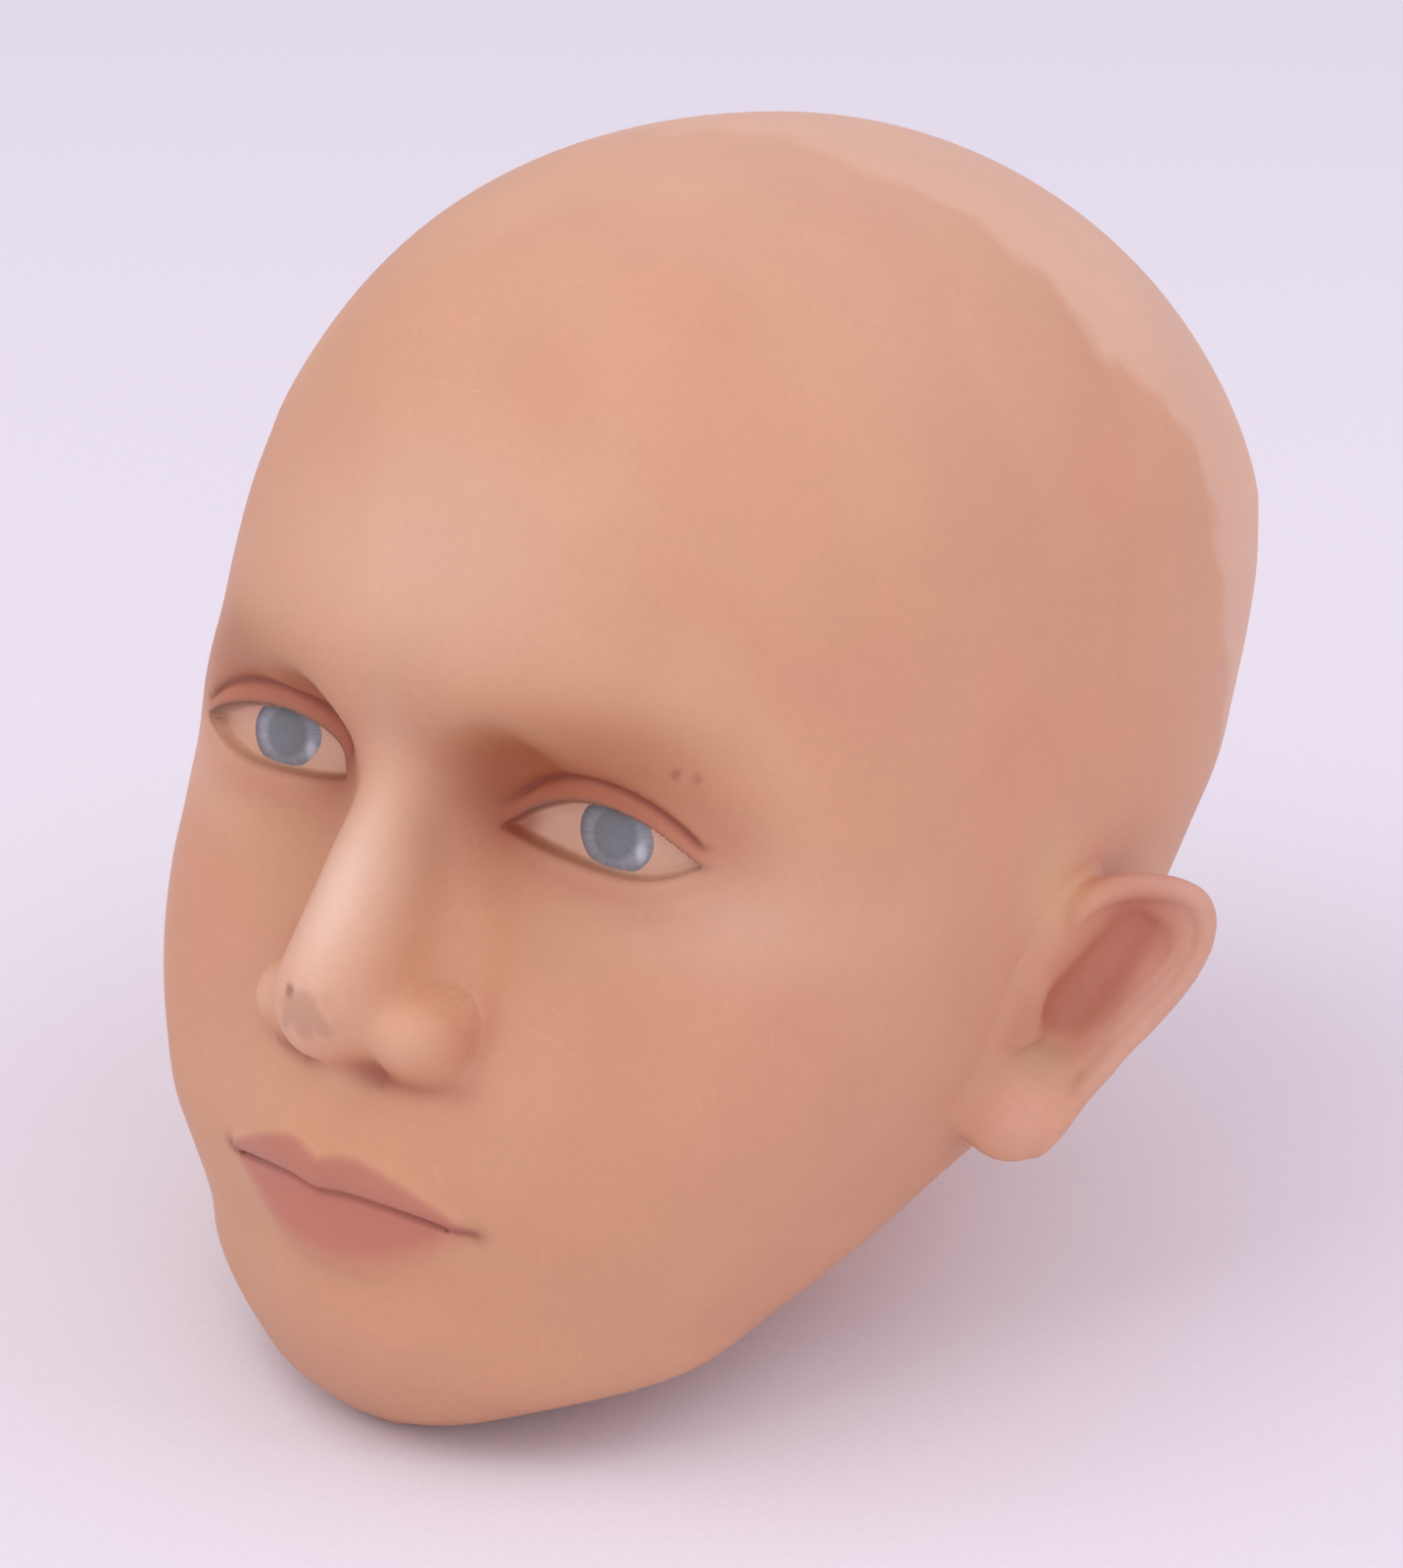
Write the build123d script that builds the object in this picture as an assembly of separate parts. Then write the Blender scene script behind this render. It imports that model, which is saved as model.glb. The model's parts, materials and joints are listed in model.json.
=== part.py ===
from build123d import *

import math
import os

# A painted mannequin head on a turning post socket, in millimetres.
# The origin is the middle of the post bore's mouth, on the surface the head rests on.
# +Z is up, and the face looks along -Y, so the head's own left is +X.

# Driving sizes of the head, in its own upright frame: the eye line is the height zero.
CROWN_HEIGHT = 97.0        # eye line to crown
HEAD_LENGTH = 183.0        # brow to the back of the skull
HEAD_BREADTH = 137.0       # widest part of the skull
BROW_Y = -87.0             # how far the brow stands in front of the ears
WALL = 4.0                 # laminate
SEAM_Y = 14.0              # the joint between the halves, behind the ears

# How the head sits on its neck.
RECLINE = 12.5             # tipped back, degrees
EYE_HEIGHT = 82.0          # eye line above the table, at the ears
NECK_Y = 2.0               # the neck's middle, behind the ears' line

# The neck plug.
NECK_HALF_WIDTH = 29.0
NECK_HALF_DEPTH = 38.0
NECK_FLARE = 1.06          # growth of the plug towards its root
NECK_ROOT = 46.0           # how far up the plug reaches before the head takes over

# Fits.
GLUE_GAP = 0.1             # bonded pieces
LOOSE_GAP = 0.3            # pieces that only lie near one another
RUNNING_GAP = 0.05         # turning pieces
FACE_GAP = 0.1             # turning faces

# Face features.
EYE_X = 30.5
EYE_Y = -58.0              # the eyeballs' middle
EYE_RADIUS = 12.3
EYE_OPENING_HALF_WIDTH = 14.5
EYE_OPENING_HALF_HEIGHT = 5.5
EYE_BLANK_DEPTH = 6.0      # eye blank behind the ball's middle
ORBIT = (19.0, 14.0, 12.0)
ORBIT_Y = -86.0
EYE_CUP_WALL = 3.0
EYE_CUP_REACH = 8.0        # how far the cup runs in front of the eyeball
BEDDING = 4.0
NOSE_TIP = (0.0, -88.0, -29.0)
NOSE_TIP_RADIUS = 9.5
NOSE_ROOT = (0.0, -78.0, 8.0)
NOSE_ROOT_RADIUS = 6.5
NOSTRIL_X = 9.0
NOSTRIL_Y = -80.0
NOSTRIL_Z = -32.0
NOSTRIL_RADIUS = (8.0, 11.0, 7.0)
LIP_Y = -68.0
LIP_UPPER_Z = -54.0
LIP_LOWER_Z = -64.0
LIP_UPPER = (25.0, 20.5, 6.5)
LIP_LOWER = (22.0, 19.5, 7.0)

# Ears.
EAR_LENGTH = 52.0
EAR_WIDTH = 30.0
EAR_THICK = 6.0
EAR_RIM = 4.5
EAR_HOLLOW = 3.6
EAR_STANDOFF = 40.0        # degrees between the ear and the side of the head
EAR_LEAN = 12.0            # degrees that the ear's top lies back
EAR_ROOT = (60.0, -8.0, -26.0)

# Neck fitting.
BOARD_THICK = 12.0
RIM_RECESS = 2.6           # flange face above the table
FLANGE_THICK = 3.0
FLANGE_RADIUS = 24.0
SLEEVE_WALL = 2.0
SLEEVE_TOP = 50.0
BUSH_WALL = 1.5
BUSH_LIP = 1.0
SOCKET_WALL = 1.9
POST_DIAMETER = 22.0
POST_CLEARANCE = 0.15
POST_DEPTH = 43.0
SOCKET_MOUTH = 0.3
SOCKET_LIP_OVER = 4.0
PAD_THICK = 2.5
PAD_RADIUS = 9.0           # its pocket is narrower than the bore, so the post stops on the floor
SPINDLE_RADIUS = 5.0
SPINDLE_FLAT = 3.8
FRICTION_THICK = 1.5
THRUST_THICK = 2.0
WASHER_RADIUS = 20.0
LUG_RADIUS = 24.5
SPRING_WIRE = 1.6
SPRING_RADIUS = 8.0
SPRING_PITCH = 3.6
SPRING_TURNS = 4
NUT_ACROSS_FLATS = 17.0
NUT_HEIGHT = 7.0
SPINDLE_END = 2.0          # spindle showing above the nut
STOP_PIN_RADIUS = 2.0
STOP_PIN_CIRCLE = 22.5
STOP_PIN_OVER = 1.5        # how far the pin stands above the lugged washer
SCREW_CIRCLE = 20.4
SCREW_SHANK = 1.75
SCREW_HEAD = 3.4
SCREW_LENGTH = 12.0
SCREW_COUNT = 4
SCREW_START = 45.0         # degrees
BOND_HEIGHT = 4.0
STRIP_WIDTH = 20.0
STRIP_THICK = 1.2
EXTENT = 400.0             # larger than the head, for cutting blocks
PAST = 1.0                 # how far a cut runs past a face
LEAST_HALF_SECTION = 4.0   # a smaller section is left out of the hollow
JAW_Z = -45.0              # below this the skin's thickness is also taken upwards

# Worked out from the values above.
BACK_Y = BROW_Y + HEAD_LENGTH
HALF_BREADTH = HEAD_BREADTH / 2
SOCKET_BORE = POST_DIAMETER / 2 + POST_CLEARANCE
SOCKET_RADIUS = SOCKET_BORE + SOCKET_WALL
BUSH_BORE = SOCKET_RADIUS + RUNNING_GAP
BUSH_RADIUS = BUSH_BORE + BUSH_WALL
SLEEVE_BORE = BUSH_RADIUS + RUNNING_GAP
SLEEVE_RADIUS = SLEEVE_BORE + SLEEVE_WALL
FLANGE_TOP = RIM_RECESS + FLANGE_THICK
BOARD_TOP = FLANGE_TOP + BOARD_THICK
SOCKET_TOP = SLEEVE_TOP
FRICTION_TOP = SLEEVE_TOP + FRICTION_THICK
THRUST_BOTTOM = FRICTION_TOP + FACE_GAP
THRUST_TOP = THRUST_BOTTOM + THRUST_THICK
SPRING_HEIGHT = SPRING_PITCH * SPRING_TURNS
NUT_BOTTOM = THRUST_TOP + SPRING_HEIGHT + 2 * SPRING_WIRE

# Stations up the head in its upright frame. Each row gives the height, the front,
# the back, the half width, where it is widest, and how square its front is.
# The rows below the eye line taper into the chin, and the back leaves room for the neck.
STATIONS = (
    (-96.0, -71.0, -60.0, 9.0, -66.0, 2.2),
    (-90.0, -77.0, -49.0, 27.0, -60.0, 2.3),
    (-82.0, -78.5, -34.0, 39.0, -50.0, 2.4),
    (-73.0, -80.0, -18.0, 46.0, -36.0, 2.6),
    (-60.0, -83.0, 7.0, 52.5, -18.0, 2.9),
    (-44.0, -83.0, 38.0, 59.0, -1.0, 3.1),
    (-26.0, -82.0, 63.0, 63.5, 5.0, 3.1),
    (-6.0, -81.5, 82.0, 66.5, 8.0, 2.8),
    (14.0, BROW_Y + 0.5, 92.5, 68.0, 12.0, 2.5),
    (28.0, BROW_Y + 2.0, BACK_Y, HALF_BREADTH, 14.0, 2.4),
    (44.0, BROW_Y + 8.5, BACK_Y, HALF_BREADTH - 1.5, 15.0, 2.3),
)
DOME_SHARES = (0.3, 0.52, 0.7, 0.84, 0.93, 0.975, 0.995)
DOME_POWER = 1.65          # how full the dome is above the last station
DOME_LEAN = -7.0           # the crown's middle, forward of the last station's
BACK_SQUARENESS = 2.15     # the back of each section is nearly a plain ellipse
SECTION_POINTS = 28


def signed_power(value, power):
    """A power that keeps the sign."""
    return math.copysign(abs(value) ** power, value)


def section_point(angle, front, back, half_width, widest, squareness, height):
    """One point of a head section, which is an egg with a squarer front."""
    reach = widest - front if math.sin(angle) < 0 else back - widest
    power = 2 / squareness if math.sin(angle) < 0 else 2 / BACK_SQUARENESS
    x = half_width * signed_power(math.cos(angle), power)
    y = widest + reach * signed_power(math.sin(angle), power)
    return (x, y, height)


def section_wire(front, back, half_width, widest, squareness, height):
    """A closed smooth wire through one head section."""
    step = 2 * math.pi / SECTION_POINTS
    points = []
    for index in range(SECTION_POINTS):
        angle = index * step
        points.append(section_point(angle, front, back, half_width, widest, squareness, height))
    return Wire([Edge.make_spline([Vector(*p) for p in points], periodic=True)])


def head_form(inset):
    """The head's closed outer form, drawn in by inset all round, in the upright frame."""
    wires = []
    for height, front, back, half_width, widest, squareness in STATIONS:
        if min(half_width, (back - front) / 2) < 2 * inset + LEAST_HALF_SECTION:
            continue
        lift = inset if height < JAW_Z else 0.0
        wires.append(
            section_wire(front + inset, back - inset, half_width - inset, widest, squareness, height + lift)
        )
    base, front, back, half_width, widest, squareness = STATIONS[-1]
    for share in DOME_SHARES:
        spread = math.sqrt(1 - share**DOME_POWER)
        middle = widest + DOME_LEAN * share
        height = base + (CROWN_HEIGHT - inset - base) * share
        wires.append(
            section_wire(
                middle + (front + inset - widest) * spread,
                middle + (back - inset - widest) * spread,
                (half_width - inset) * spread,
                middle,
                squareness,
                height,
            )
        )
    return Solid.make_loft(wires, ruled=False)


def ellipsoid(radii, centre):
    """An ellipsoid, by stretching a ball."""
    ball = Solid.make_sphere(1.0)
    stretch = Matrix([[radii[0], 0, 0, 0], [0, radii[1], 0, 0], [0, 0, radii[2], 0]])
    return ball.transform_geometry(stretch).moved(Location(centre))


def to_table(shape):
    """Turns the upright frame back by the recline and stands it over the post bore."""
    turned = shape.rotate(Axis.X, -RECLINE)
    return turned.moved(Location((0, -NECK_Y, EYE_HEIGHT)))


def rod(radius, bottom, top, at=(0.0, 0.0)):
    """An upright round rod between two heights."""
    return Pos(at[0], at[1], bottom) * extrude(Circle(radius), top - bottom)


def ring(outer, inner, bottom, top):
    """An upright round ring between two heights."""
    return rod(outer, bottom, top) - rod(inner, bottom - PAST, top + PAST)


def neck_plug(inset, bottom, top):
    """The elliptical neck plug, drawn in by inset, between two heights over the table."""
    sections = []
    for height in (bottom, top):
        growth = 1 + (NECK_FLARE - 1) * height / NECK_ROOT
        face = Ellipse(NECK_HALF_WIDTH * growth - inset, NECK_HALF_DEPTH * growth - inset)
        sections.append(Pos(0, 0, height) * face)
    return loft(sections)


def nose_form():
    """The nose: a tapering bridge, a round tip, two wings and a foot."""
    root = Vector(*NOSE_ROOT)
    tip = Vector(*NOSE_TIP)
    along = (tip - root).normalized()
    bridge = Solid.make_cone(
        NOSE_ROOT_RADIUS, NOSE_TIP_RADIUS, (tip - root).length, Plane(origin=root, z_dir=along)
    )
    parts = bridge + Pos(*NOSE_TIP) * Sphere(NOSE_TIP_RADIUS) + Pos(*NOSE_ROOT) * Sphere(NOSE_ROOT_RADIUS)
    for side in (-1, 1):
        parts += ellipsoid(NOSTRIL_RADIUS, (side * NOSTRIL_X, NOSTRIL_Y, NOSTRIL_Z))
    return parts


def lip_form():
    """Two closed lips."""
    upper = ellipsoid(LIP_UPPER, (0, LIP_Y, LIP_UPPER_Z))
    lower = ellipsoid(LIP_LOWER, (0, LIP_Y, LIP_LOWER_Z))
    return upper + lower


def eye_axis_plane(side, back):
    """A plane across one eye's axis, at a distance behind the eyeball's middle."""
    return Plane(origin=(side * EYE_X, EYE_Y + back, 0), z_dir=(0, -1, 0))


def eye_pocket(side, grow, back):
    """The round-nosed pocket that an eye blank fits, grown by a gap."""
    radius = EYE_RADIUS + grow
    ball = Pos(side * EYE_X, EYE_Y, 0) * Sphere(radius)
    barrel = Solid.make_cylinder(radius, back, eye_axis_plane(side, back))
    return ball + barrel


def eye_blank(side):
    """One domed eye blank, flat at the back."""
    block = Pos(side * EYE_X, EYE_Y + EYE_BLANK_DEPTH - EXTENT / 2, 0) * Box(EXTENT, EXTENT, EXTENT)
    return eye_pocket(side, 0, EYE_BLANK_DEPTH) & block


def eye_bedding(side):
    """The putty disc that holds one eye blank in its cup."""
    plane = eye_axis_plane(side, EYE_BLANK_DEPTH + BEDDING)
    return Solid.make_cylinder(EYE_RADIUS, BEDDING - GLUE_GAP, plane)


def eye_cup(side):
    """The boss inside the face that an eye blank is set into."""
    depth = EYE_BLANK_DEPTH + BEDDING + EYE_RADIUS + EYE_CUP_REACH
    plane = eye_axis_plane(side, EYE_BLANK_DEPTH + BEDDING)
    return Solid.make_cylinder(EYE_RADIUS + GLUE_GAP + EYE_CUP_WALL, depth, plane)


def eye_opening(side):
    """The almond slot between the lids."""
    slot = Plane(origin=(side * EYE_X, EYE_Y, 0), x_dir=(1, 0, 0), z_dir=(0, -1, 0))
    return extrude(slot * Ellipse(EYE_OPENING_HALF_WIDTH, EYE_OPENING_HALF_HEIGHT), EXTENT / 4)


def ear_form(side):
    """One cast ear: a rimmed, hollowed plate with a lobe, standing off the head."""
    half = EAR_LENGTH / 2
    outline = Spline(
        [
            (0.10 * EAR_WIDTH, 0.72 * half),
            (0.50 * EAR_WIDTH, half),
            (0.92 * EAR_WIDTH, 0.66 * half),
            (EAR_WIDTH, 0.10 * half),
            (0.68 * EAR_WIDTH, -0.55 * half),
            (0.34 * EAR_WIDTH, -half),
            (0.02 * EAR_WIDTH, -0.80 * half),
            (-0.10 * EAR_WIDTH, 0.0),
        ],
        periodic=True,
    )
    plate = extrude(make_face(outline), EAR_THICK)
    plate = fillet(plate.edges(), 0.35 * EAR_THICK)
    hollow = ellipsoid(
        (EAR_WIDTH / 2 - EAR_RIM, 0.62 * half, EAR_HOLLOW), (0.50 * EAR_WIDTH, 0.14 * half, EAR_THICK)
    )
    plate = plate - hollow
    # The plate runs back and outwards from its root, its hollow facing forwards and out.
    turn = math.radians(EAR_STANDOFF)
    seat = Plane(
        origin=EAR_ROOT,
        x_dir=(math.sin(turn), math.cos(turn), 0),
        z_dir=(math.cos(turn), -math.sin(turn), 0),
    )
    ear = seat.from_local_coords(Rot(0, 0, -EAR_LEAN) * plate)
    return ear if side > 0 else ear.mirror(Plane.YZ)


def spring():
    """The round-wire compression spring on the spindle."""
    path = Edge.make_helix(SPRING_PITCH, SPRING_HEIGHT, SPRING_RADIUS)
    start = Plane(origin=path @ 0, z_dir=path % 0)
    coil = sweep(start * Circle(SPRING_WIRE / 2), path=Wire([path]))
    return Pos(0, 0, THRUST_TOP + SPRING_WIRE) * coil


def spindle_section():
    """The round spindle section with two flats, which keys the washer."""
    return Circle(SPINDLE_RADIUS) & Rectangle(4 * SPINDLE_RADIUS, 2 * SPINDLE_FLAT)


def screw_places():
    """The middles of the flange screws."""
    places = []
    for index in range(SCREW_COUNT):
        angle = math.radians(SCREW_START + index * 360 / SCREW_COUNT)
        places.append((SCREW_CIRCLE * math.cos(angle), SCREW_CIRCLE * math.sin(angle)))
    return places


def wood_screw(at, grow):
    """A countersunk wood screw, head down, grown by a gap."""
    head_height = SCREW_HEAD - SCREW_SHANK
    cone = Pos(at[0], at[1], RIM_RECESS + head_height / 2) * Cone(
        SCREW_HEAD + grow, SCREW_SHANK + grow, head_height
    )
    return cone + rod(SCREW_SHANK + grow, RIM_RECESS, RIM_RECESS + SCREW_LENGTH + grow, at)


nodes = {}

# The head's skin, its hollow and the neck.
outer = head_form(0.0)
inner = head_form(WALL)
above_table = Pos(0, 0, EXTENT / 2) * Box(EXTENT, EXTENT, EXTENT)
features = outer + nose_form() + lip_form()
for side in (-1, 1):
    features = features - ellipsoid(ORBIT, (side * EYE_X, ORBIT_Y, 0))
hollow_form = inner
for side in (-1, 1):
    hollow_form = hollow_form - eye_cup(side)
    features = features - eye_opening(side)
    features = features - eye_pocket(side, GLUE_GAP, EYE_BLANK_DEPTH + BEDDING + PAST)
plug = neck_plug(0.0, 0.0, NECK_ROOT)
plug_hollow = neck_plug(WALL, -PAST, NECK_ROOT)
skin = to_table(features) + plug
skin = (skin - to_table(hollow_form) - plug_hollow) & above_table

front_block = to_table(Pos(0, SEAM_Y - EXTENT / 2, 0) * Box(EXTENT, EXTENT, EXTENT))
nodes["face_shell"] = skin & front_block
nodes["back_shell"] = skin - front_block

# The strip over the joint, inside.
strip = head_form(WALL + GLUE_GAP) - head_form(WALL + GLUE_GAP + STRIP_THICK)
strip = strip & (Pos(0, SEAM_Y, 0) * Box(EXTENT, STRIP_WIDTH, EXTENT))
strip = to_table(strip) - neck_plug(0.0, -PAST, EYE_HEIGHT)
nodes["seam_strip"] = strip & (Pos(0, 0, NECK_ROOT + EXTENT / 2) * Box(EXTENT, EXTENT, EXTENT))

# Eyes and their bedding.
for side, name in ((1, "left"), (-1, "right")):
    nodes[name + "_eye"] = to_table(eye_blank(side))
    nodes[name + "_eye_bedding"] = to_table(eye_bedding(side))
    nodes[name + "_ear"] = to_table(ear_form(side) - outer)

# The board, its bond and the fixed metalwork.
board = neck_plug(WALL + GLUE_GAP, FLANGE_TOP, BOARD_TOP)
board = board - rod(SLEEVE_RADIUS + LOOSE_GAP, 0, BOARD_TOP + PAST)
bond = neck_plug(WALL + GLUE_GAP, BOARD_TOP, BOARD_TOP + BOND_HEIGHT)
bond = bond - neck_plug(WALL + BOND_HEIGHT, BOARD_TOP - PAST, BOARD_TOP + BOND_HEIGHT + PAST)
flange = ring(FLANGE_RADIUS, SLEEVE_BORE, RIM_RECESS, FLANGE_TOP)
flange = flange + ring(SLEEVE_RADIUS, SLEEVE_BORE, RIM_RECESS, SLEEVE_TOP)
screws = []
for place in screw_places():
    board = board - wood_screw(place, GLUE_GAP)
    flange = flange - wood_screw(place, GLUE_GAP)
    screws.append(wood_screw(place, 0))
stop_place = (0.0, STOP_PIN_CIRCLE)
board = board - rod(STOP_PIN_RADIUS + GLUE_GAP, FLANGE_TOP, BOARD_TOP + PAST, stop_place)
nodes["neck_board"] = board
nodes["board_bond"] = bond
nodes["bearing_flange"] = flange
nodes["flange_screws"] = Compound(children=screws)
nodes["stop_pin"] = rod(STOP_PIN_RADIUS, FLANGE_TOP + GLUE_GAP, THRUST_TOP + STOP_PIN_OVER, stop_place)
bush = ring(BUSH_RADIUS, BUSH_BORE, RIM_RECESS, SLEEVE_TOP)
bush = bush + ring(SLEEVE_RADIUS, BUSH_BORE, RIM_RECESS - BUSH_LIP, RIM_RECESS)
nodes["swivel_bush"] = bush
nodes["friction_washer"] = ring(WASHER_RADIUS, SOCKET_RADIUS + LOOSE_GAP, SLEEVE_TOP, FRICTION_TOP)

# The turning metalwork.
bore_top = SOCKET_MOUTH + POST_DEPTH
pocket_top = bore_top + PAD_THICK
lip_top = RIM_RECESS - BUSH_LIP - FACE_GAP
socket = rod(SOCKET_RADIUS, SOCKET_MOUTH, SOCKET_TOP)
socket = socket + rod(SOCKET_RADIUS + SOCKET_LIP_OVER, SOCKET_MOUTH, lip_top)
spindle_top = NUT_BOTTOM + NUT_HEIGHT + SPINDLE_END
spindle = Pos(0, 0, SOCKET_TOP) * extrude(spindle_section(), spindle_top - SOCKET_TOP)
socket = socket + spindle - rod(SOCKET_BORE, SOCKET_MOUTH - PAST, bore_top)
socket = socket - rod(PAD_RADIUS + GLUE_GAP, bore_top - PAST, pocket_top)
nodes["post_socket"] = socket
nodes["post_pad"] = rod(PAD_RADIUS, bore_top, pocket_top - GLUE_GAP)
lug = Pos(0, -EXTENT / 2, 0) * Box(EXTENT, EXTENT, EXTENT)
thrust = rod(WASHER_RADIUS, THRUST_BOTTOM, THRUST_TOP) + (rod(LUG_RADIUS, THRUST_BOTTOM, THRUST_TOP) & lug)
key_flats = Rectangle(4 * SPINDLE_RADIUS, 2 * (SPINDLE_FLAT + GLUE_GAP))
key_hole = Circle(SPINDLE_RADIUS + GLUE_GAP) & key_flats
thrust = thrust - Pos(0, 0, THRUST_BOTTOM - PAST) * extrude(key_hole, THRUST_THICK + 2 * PAST)
nodes["thrust_washer"] = thrust
nodes["tension_spring"] = spring()
nut = extrude(RegularPolygon(NUT_ACROSS_FLATS / 2, 6, major_radius=False), NUT_HEIGHT)
nut = Pos(0, 0, NUT_BOTTOM) * nut
nut_bore = rod(SPINDLE_RADIUS + RUNNING_GAP, NUT_BOTTOM - PAST, NUT_BOTTOM + NUT_HEIGHT + PAST)
nodes["retaining_nut"] = nut - nut_bore

os.makedirs("parts", exist_ok=True)
for name, shape in nodes.items():
    export_step(shape, "parts/" + name + ".step")
    print(name, round(shape.volume), shape.bounding_box())
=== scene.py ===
# Looks of a painted mannequin head on a turning post socket.
#
# The head is sculpted as one smooth skin in its own upright frame, in millimetres, with the
# eye line at height zero, the ears at y = 0, the face looking along -Y and the head's own left
# at +X. It is then tipped back and set over the post bore, in metres, where the CAD nodes are.

import json
import logging
import math
from contextlib import contextmanager
from dataclasses import dataclass, field
from enum import Enum
from typing import Callable, Iterator, Sequence

import bpy
import numpy as np
import openvdb
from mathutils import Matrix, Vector

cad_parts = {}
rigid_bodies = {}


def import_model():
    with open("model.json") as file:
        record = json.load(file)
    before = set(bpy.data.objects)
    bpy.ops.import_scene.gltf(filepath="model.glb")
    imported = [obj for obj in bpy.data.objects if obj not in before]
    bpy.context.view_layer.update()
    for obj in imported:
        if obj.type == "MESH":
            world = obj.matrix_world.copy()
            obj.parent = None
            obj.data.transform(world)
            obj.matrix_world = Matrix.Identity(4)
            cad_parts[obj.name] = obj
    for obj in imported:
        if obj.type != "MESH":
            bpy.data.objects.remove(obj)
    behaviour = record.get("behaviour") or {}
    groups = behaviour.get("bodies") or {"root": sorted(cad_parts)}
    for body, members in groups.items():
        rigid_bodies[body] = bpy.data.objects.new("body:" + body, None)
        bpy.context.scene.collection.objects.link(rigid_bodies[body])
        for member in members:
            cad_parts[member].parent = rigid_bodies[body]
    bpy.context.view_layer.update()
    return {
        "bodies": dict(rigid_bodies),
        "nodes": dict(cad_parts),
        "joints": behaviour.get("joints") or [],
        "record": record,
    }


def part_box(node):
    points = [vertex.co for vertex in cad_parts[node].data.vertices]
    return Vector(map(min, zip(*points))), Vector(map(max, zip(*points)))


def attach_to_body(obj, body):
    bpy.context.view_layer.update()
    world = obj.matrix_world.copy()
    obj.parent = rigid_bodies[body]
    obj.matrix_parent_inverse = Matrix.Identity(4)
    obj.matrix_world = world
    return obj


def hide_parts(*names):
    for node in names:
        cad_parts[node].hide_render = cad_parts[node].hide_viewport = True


LOG = logging.getLogger("mannequin_head")
MM = 0.001
Array = np.ndarray


class Side(Enum):
    """The head's own left or right."""

    LEFT = 1
    RIGHT = -1

    @property
    def word(self) -> str:
        """The side's name in lower case."""
        return self.name.lower()


# ---------------------------------------------------------------- small helpers


def linear(hex_colour: str) -> tuple[float, float, float, float]:
    """Turns an sRGB hex colour to linear.

    Args:
        hex_colour: Six hex digits with a leading #.

    Returns:
        Linear red, green, blue and an alpha of one.
    """
    values = []
    for start in (1, 3, 5):
        s = int(hex_colour[start : start + 2], 16) / 255
        values.append(s / 12.92 if s <= 0.04045 else ((s + 0.055) / 1.055) ** 2.4)
    return (values[0], values[1], values[2], 1.0)


def rgb(hex_colour: str) -> Array:
    """The linear colour as an array of three."""
    return np.array(linear(hex_colour)[:3])


def lay(base: Array, colour: str, cover: Array) -> Array:
    """Lays one colour over the paint.

    Args:
        base: Linear colours so far.
        colour: The new sRGB colour.
        cover: How much it covers, zero to one.

    Returns:
        Linear colours.
    """
    c = np.clip(cover, 0, 1)[:, None]
    return base * (1 - c) + rgb(colour) * c


def smooth_union(a: Array, b: Array, blend: float) -> Array:
    """Joins two forms with a fillet.

    Args:
        a: Distance to the first form, negative inside.
        b: Distance to the second form.
        blend: Width of the fillet, mm.

    Returns:
        Distance to both.
    """
    h = np.clip(0.5 + 0.5 * (b - a) / blend, 0.0, 1.0)
    return b + (a - b) * h - blend * h * (1 - h)


def smooth_cut(a: Array, tool: Array, blend: float) -> Array:
    """Cuts a tool out of a form with a rounded edge.

    Args:
        a: Distance to the form.
        tool: Distance to the tool.
        blend: Width of the rounding, mm.

    Returns:
        Distance to what is left.
    """
    return -smooth_union(-a, tool, blend)


def step_up(value: Array, low: float, high: float) -> Array:
    """A smooth step from zero at low to one at high."""
    t = np.clip((value - low) / (high - low), 0.0, 1.0)
    return t * t * (3 - 2 * t)


def bell(value: Array, width: float, power: float = 2) -> Array:
    """One at zero, falling away smoothly over a width."""
    return np.exp(-((value / width) ** power))


def through(at: Array, knots: Sequence[float], values: Sequence[float]) -> Array:
    """A smooth curve through points, held flat past both ends.

    Args:
        at: Where the curve is wanted.
        knots: Rising places of the points.
        values: The points' values.

    Returns:
        The curve's values.
    """
    k = np.asarray(knots, float)
    v = np.asarray(values, float)
    slope = np.gradient(v, k)
    t_all = np.clip(at, k[0], k[-1])
    i = np.clip(np.searchsorted(k, t_all) - 1, 0, len(k) - 2)
    h = k[i + 1] - k[i]
    t = (t_all - k[i]) / h
    t2, t3 = t * t, t * t * t
    return (
        (2 * t3 - 3 * t2 + 1) * v[i]
        + (t3 - 2 * t2 + t) * h * slope[i]
        + (-2 * t3 + 3 * t2) * v[i + 1]
        + (t3 - t2) * h * slope[i + 1]
    )


def ellipsoid(p: Array, centre: Sequence[float], radii: Sequence[float]) -> Array:
    """Distance to an ellipsoid, good near its surface.

    Args:
        p: Points, mm.
        centre: The ellipsoid's middle.
        radii: Its three half axes.

    Returns:
        Distances, negative inside.
    """
    q = p - np.asarray(centre)
    r = np.asarray(radii)
    k0 = np.linalg.norm(q / r, axis=1)
    k1 = np.linalg.norm(q / (r * r), axis=1)
    return k0 * (k0 - 1.0) / np.maximum(k1, 1e-9)


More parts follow.
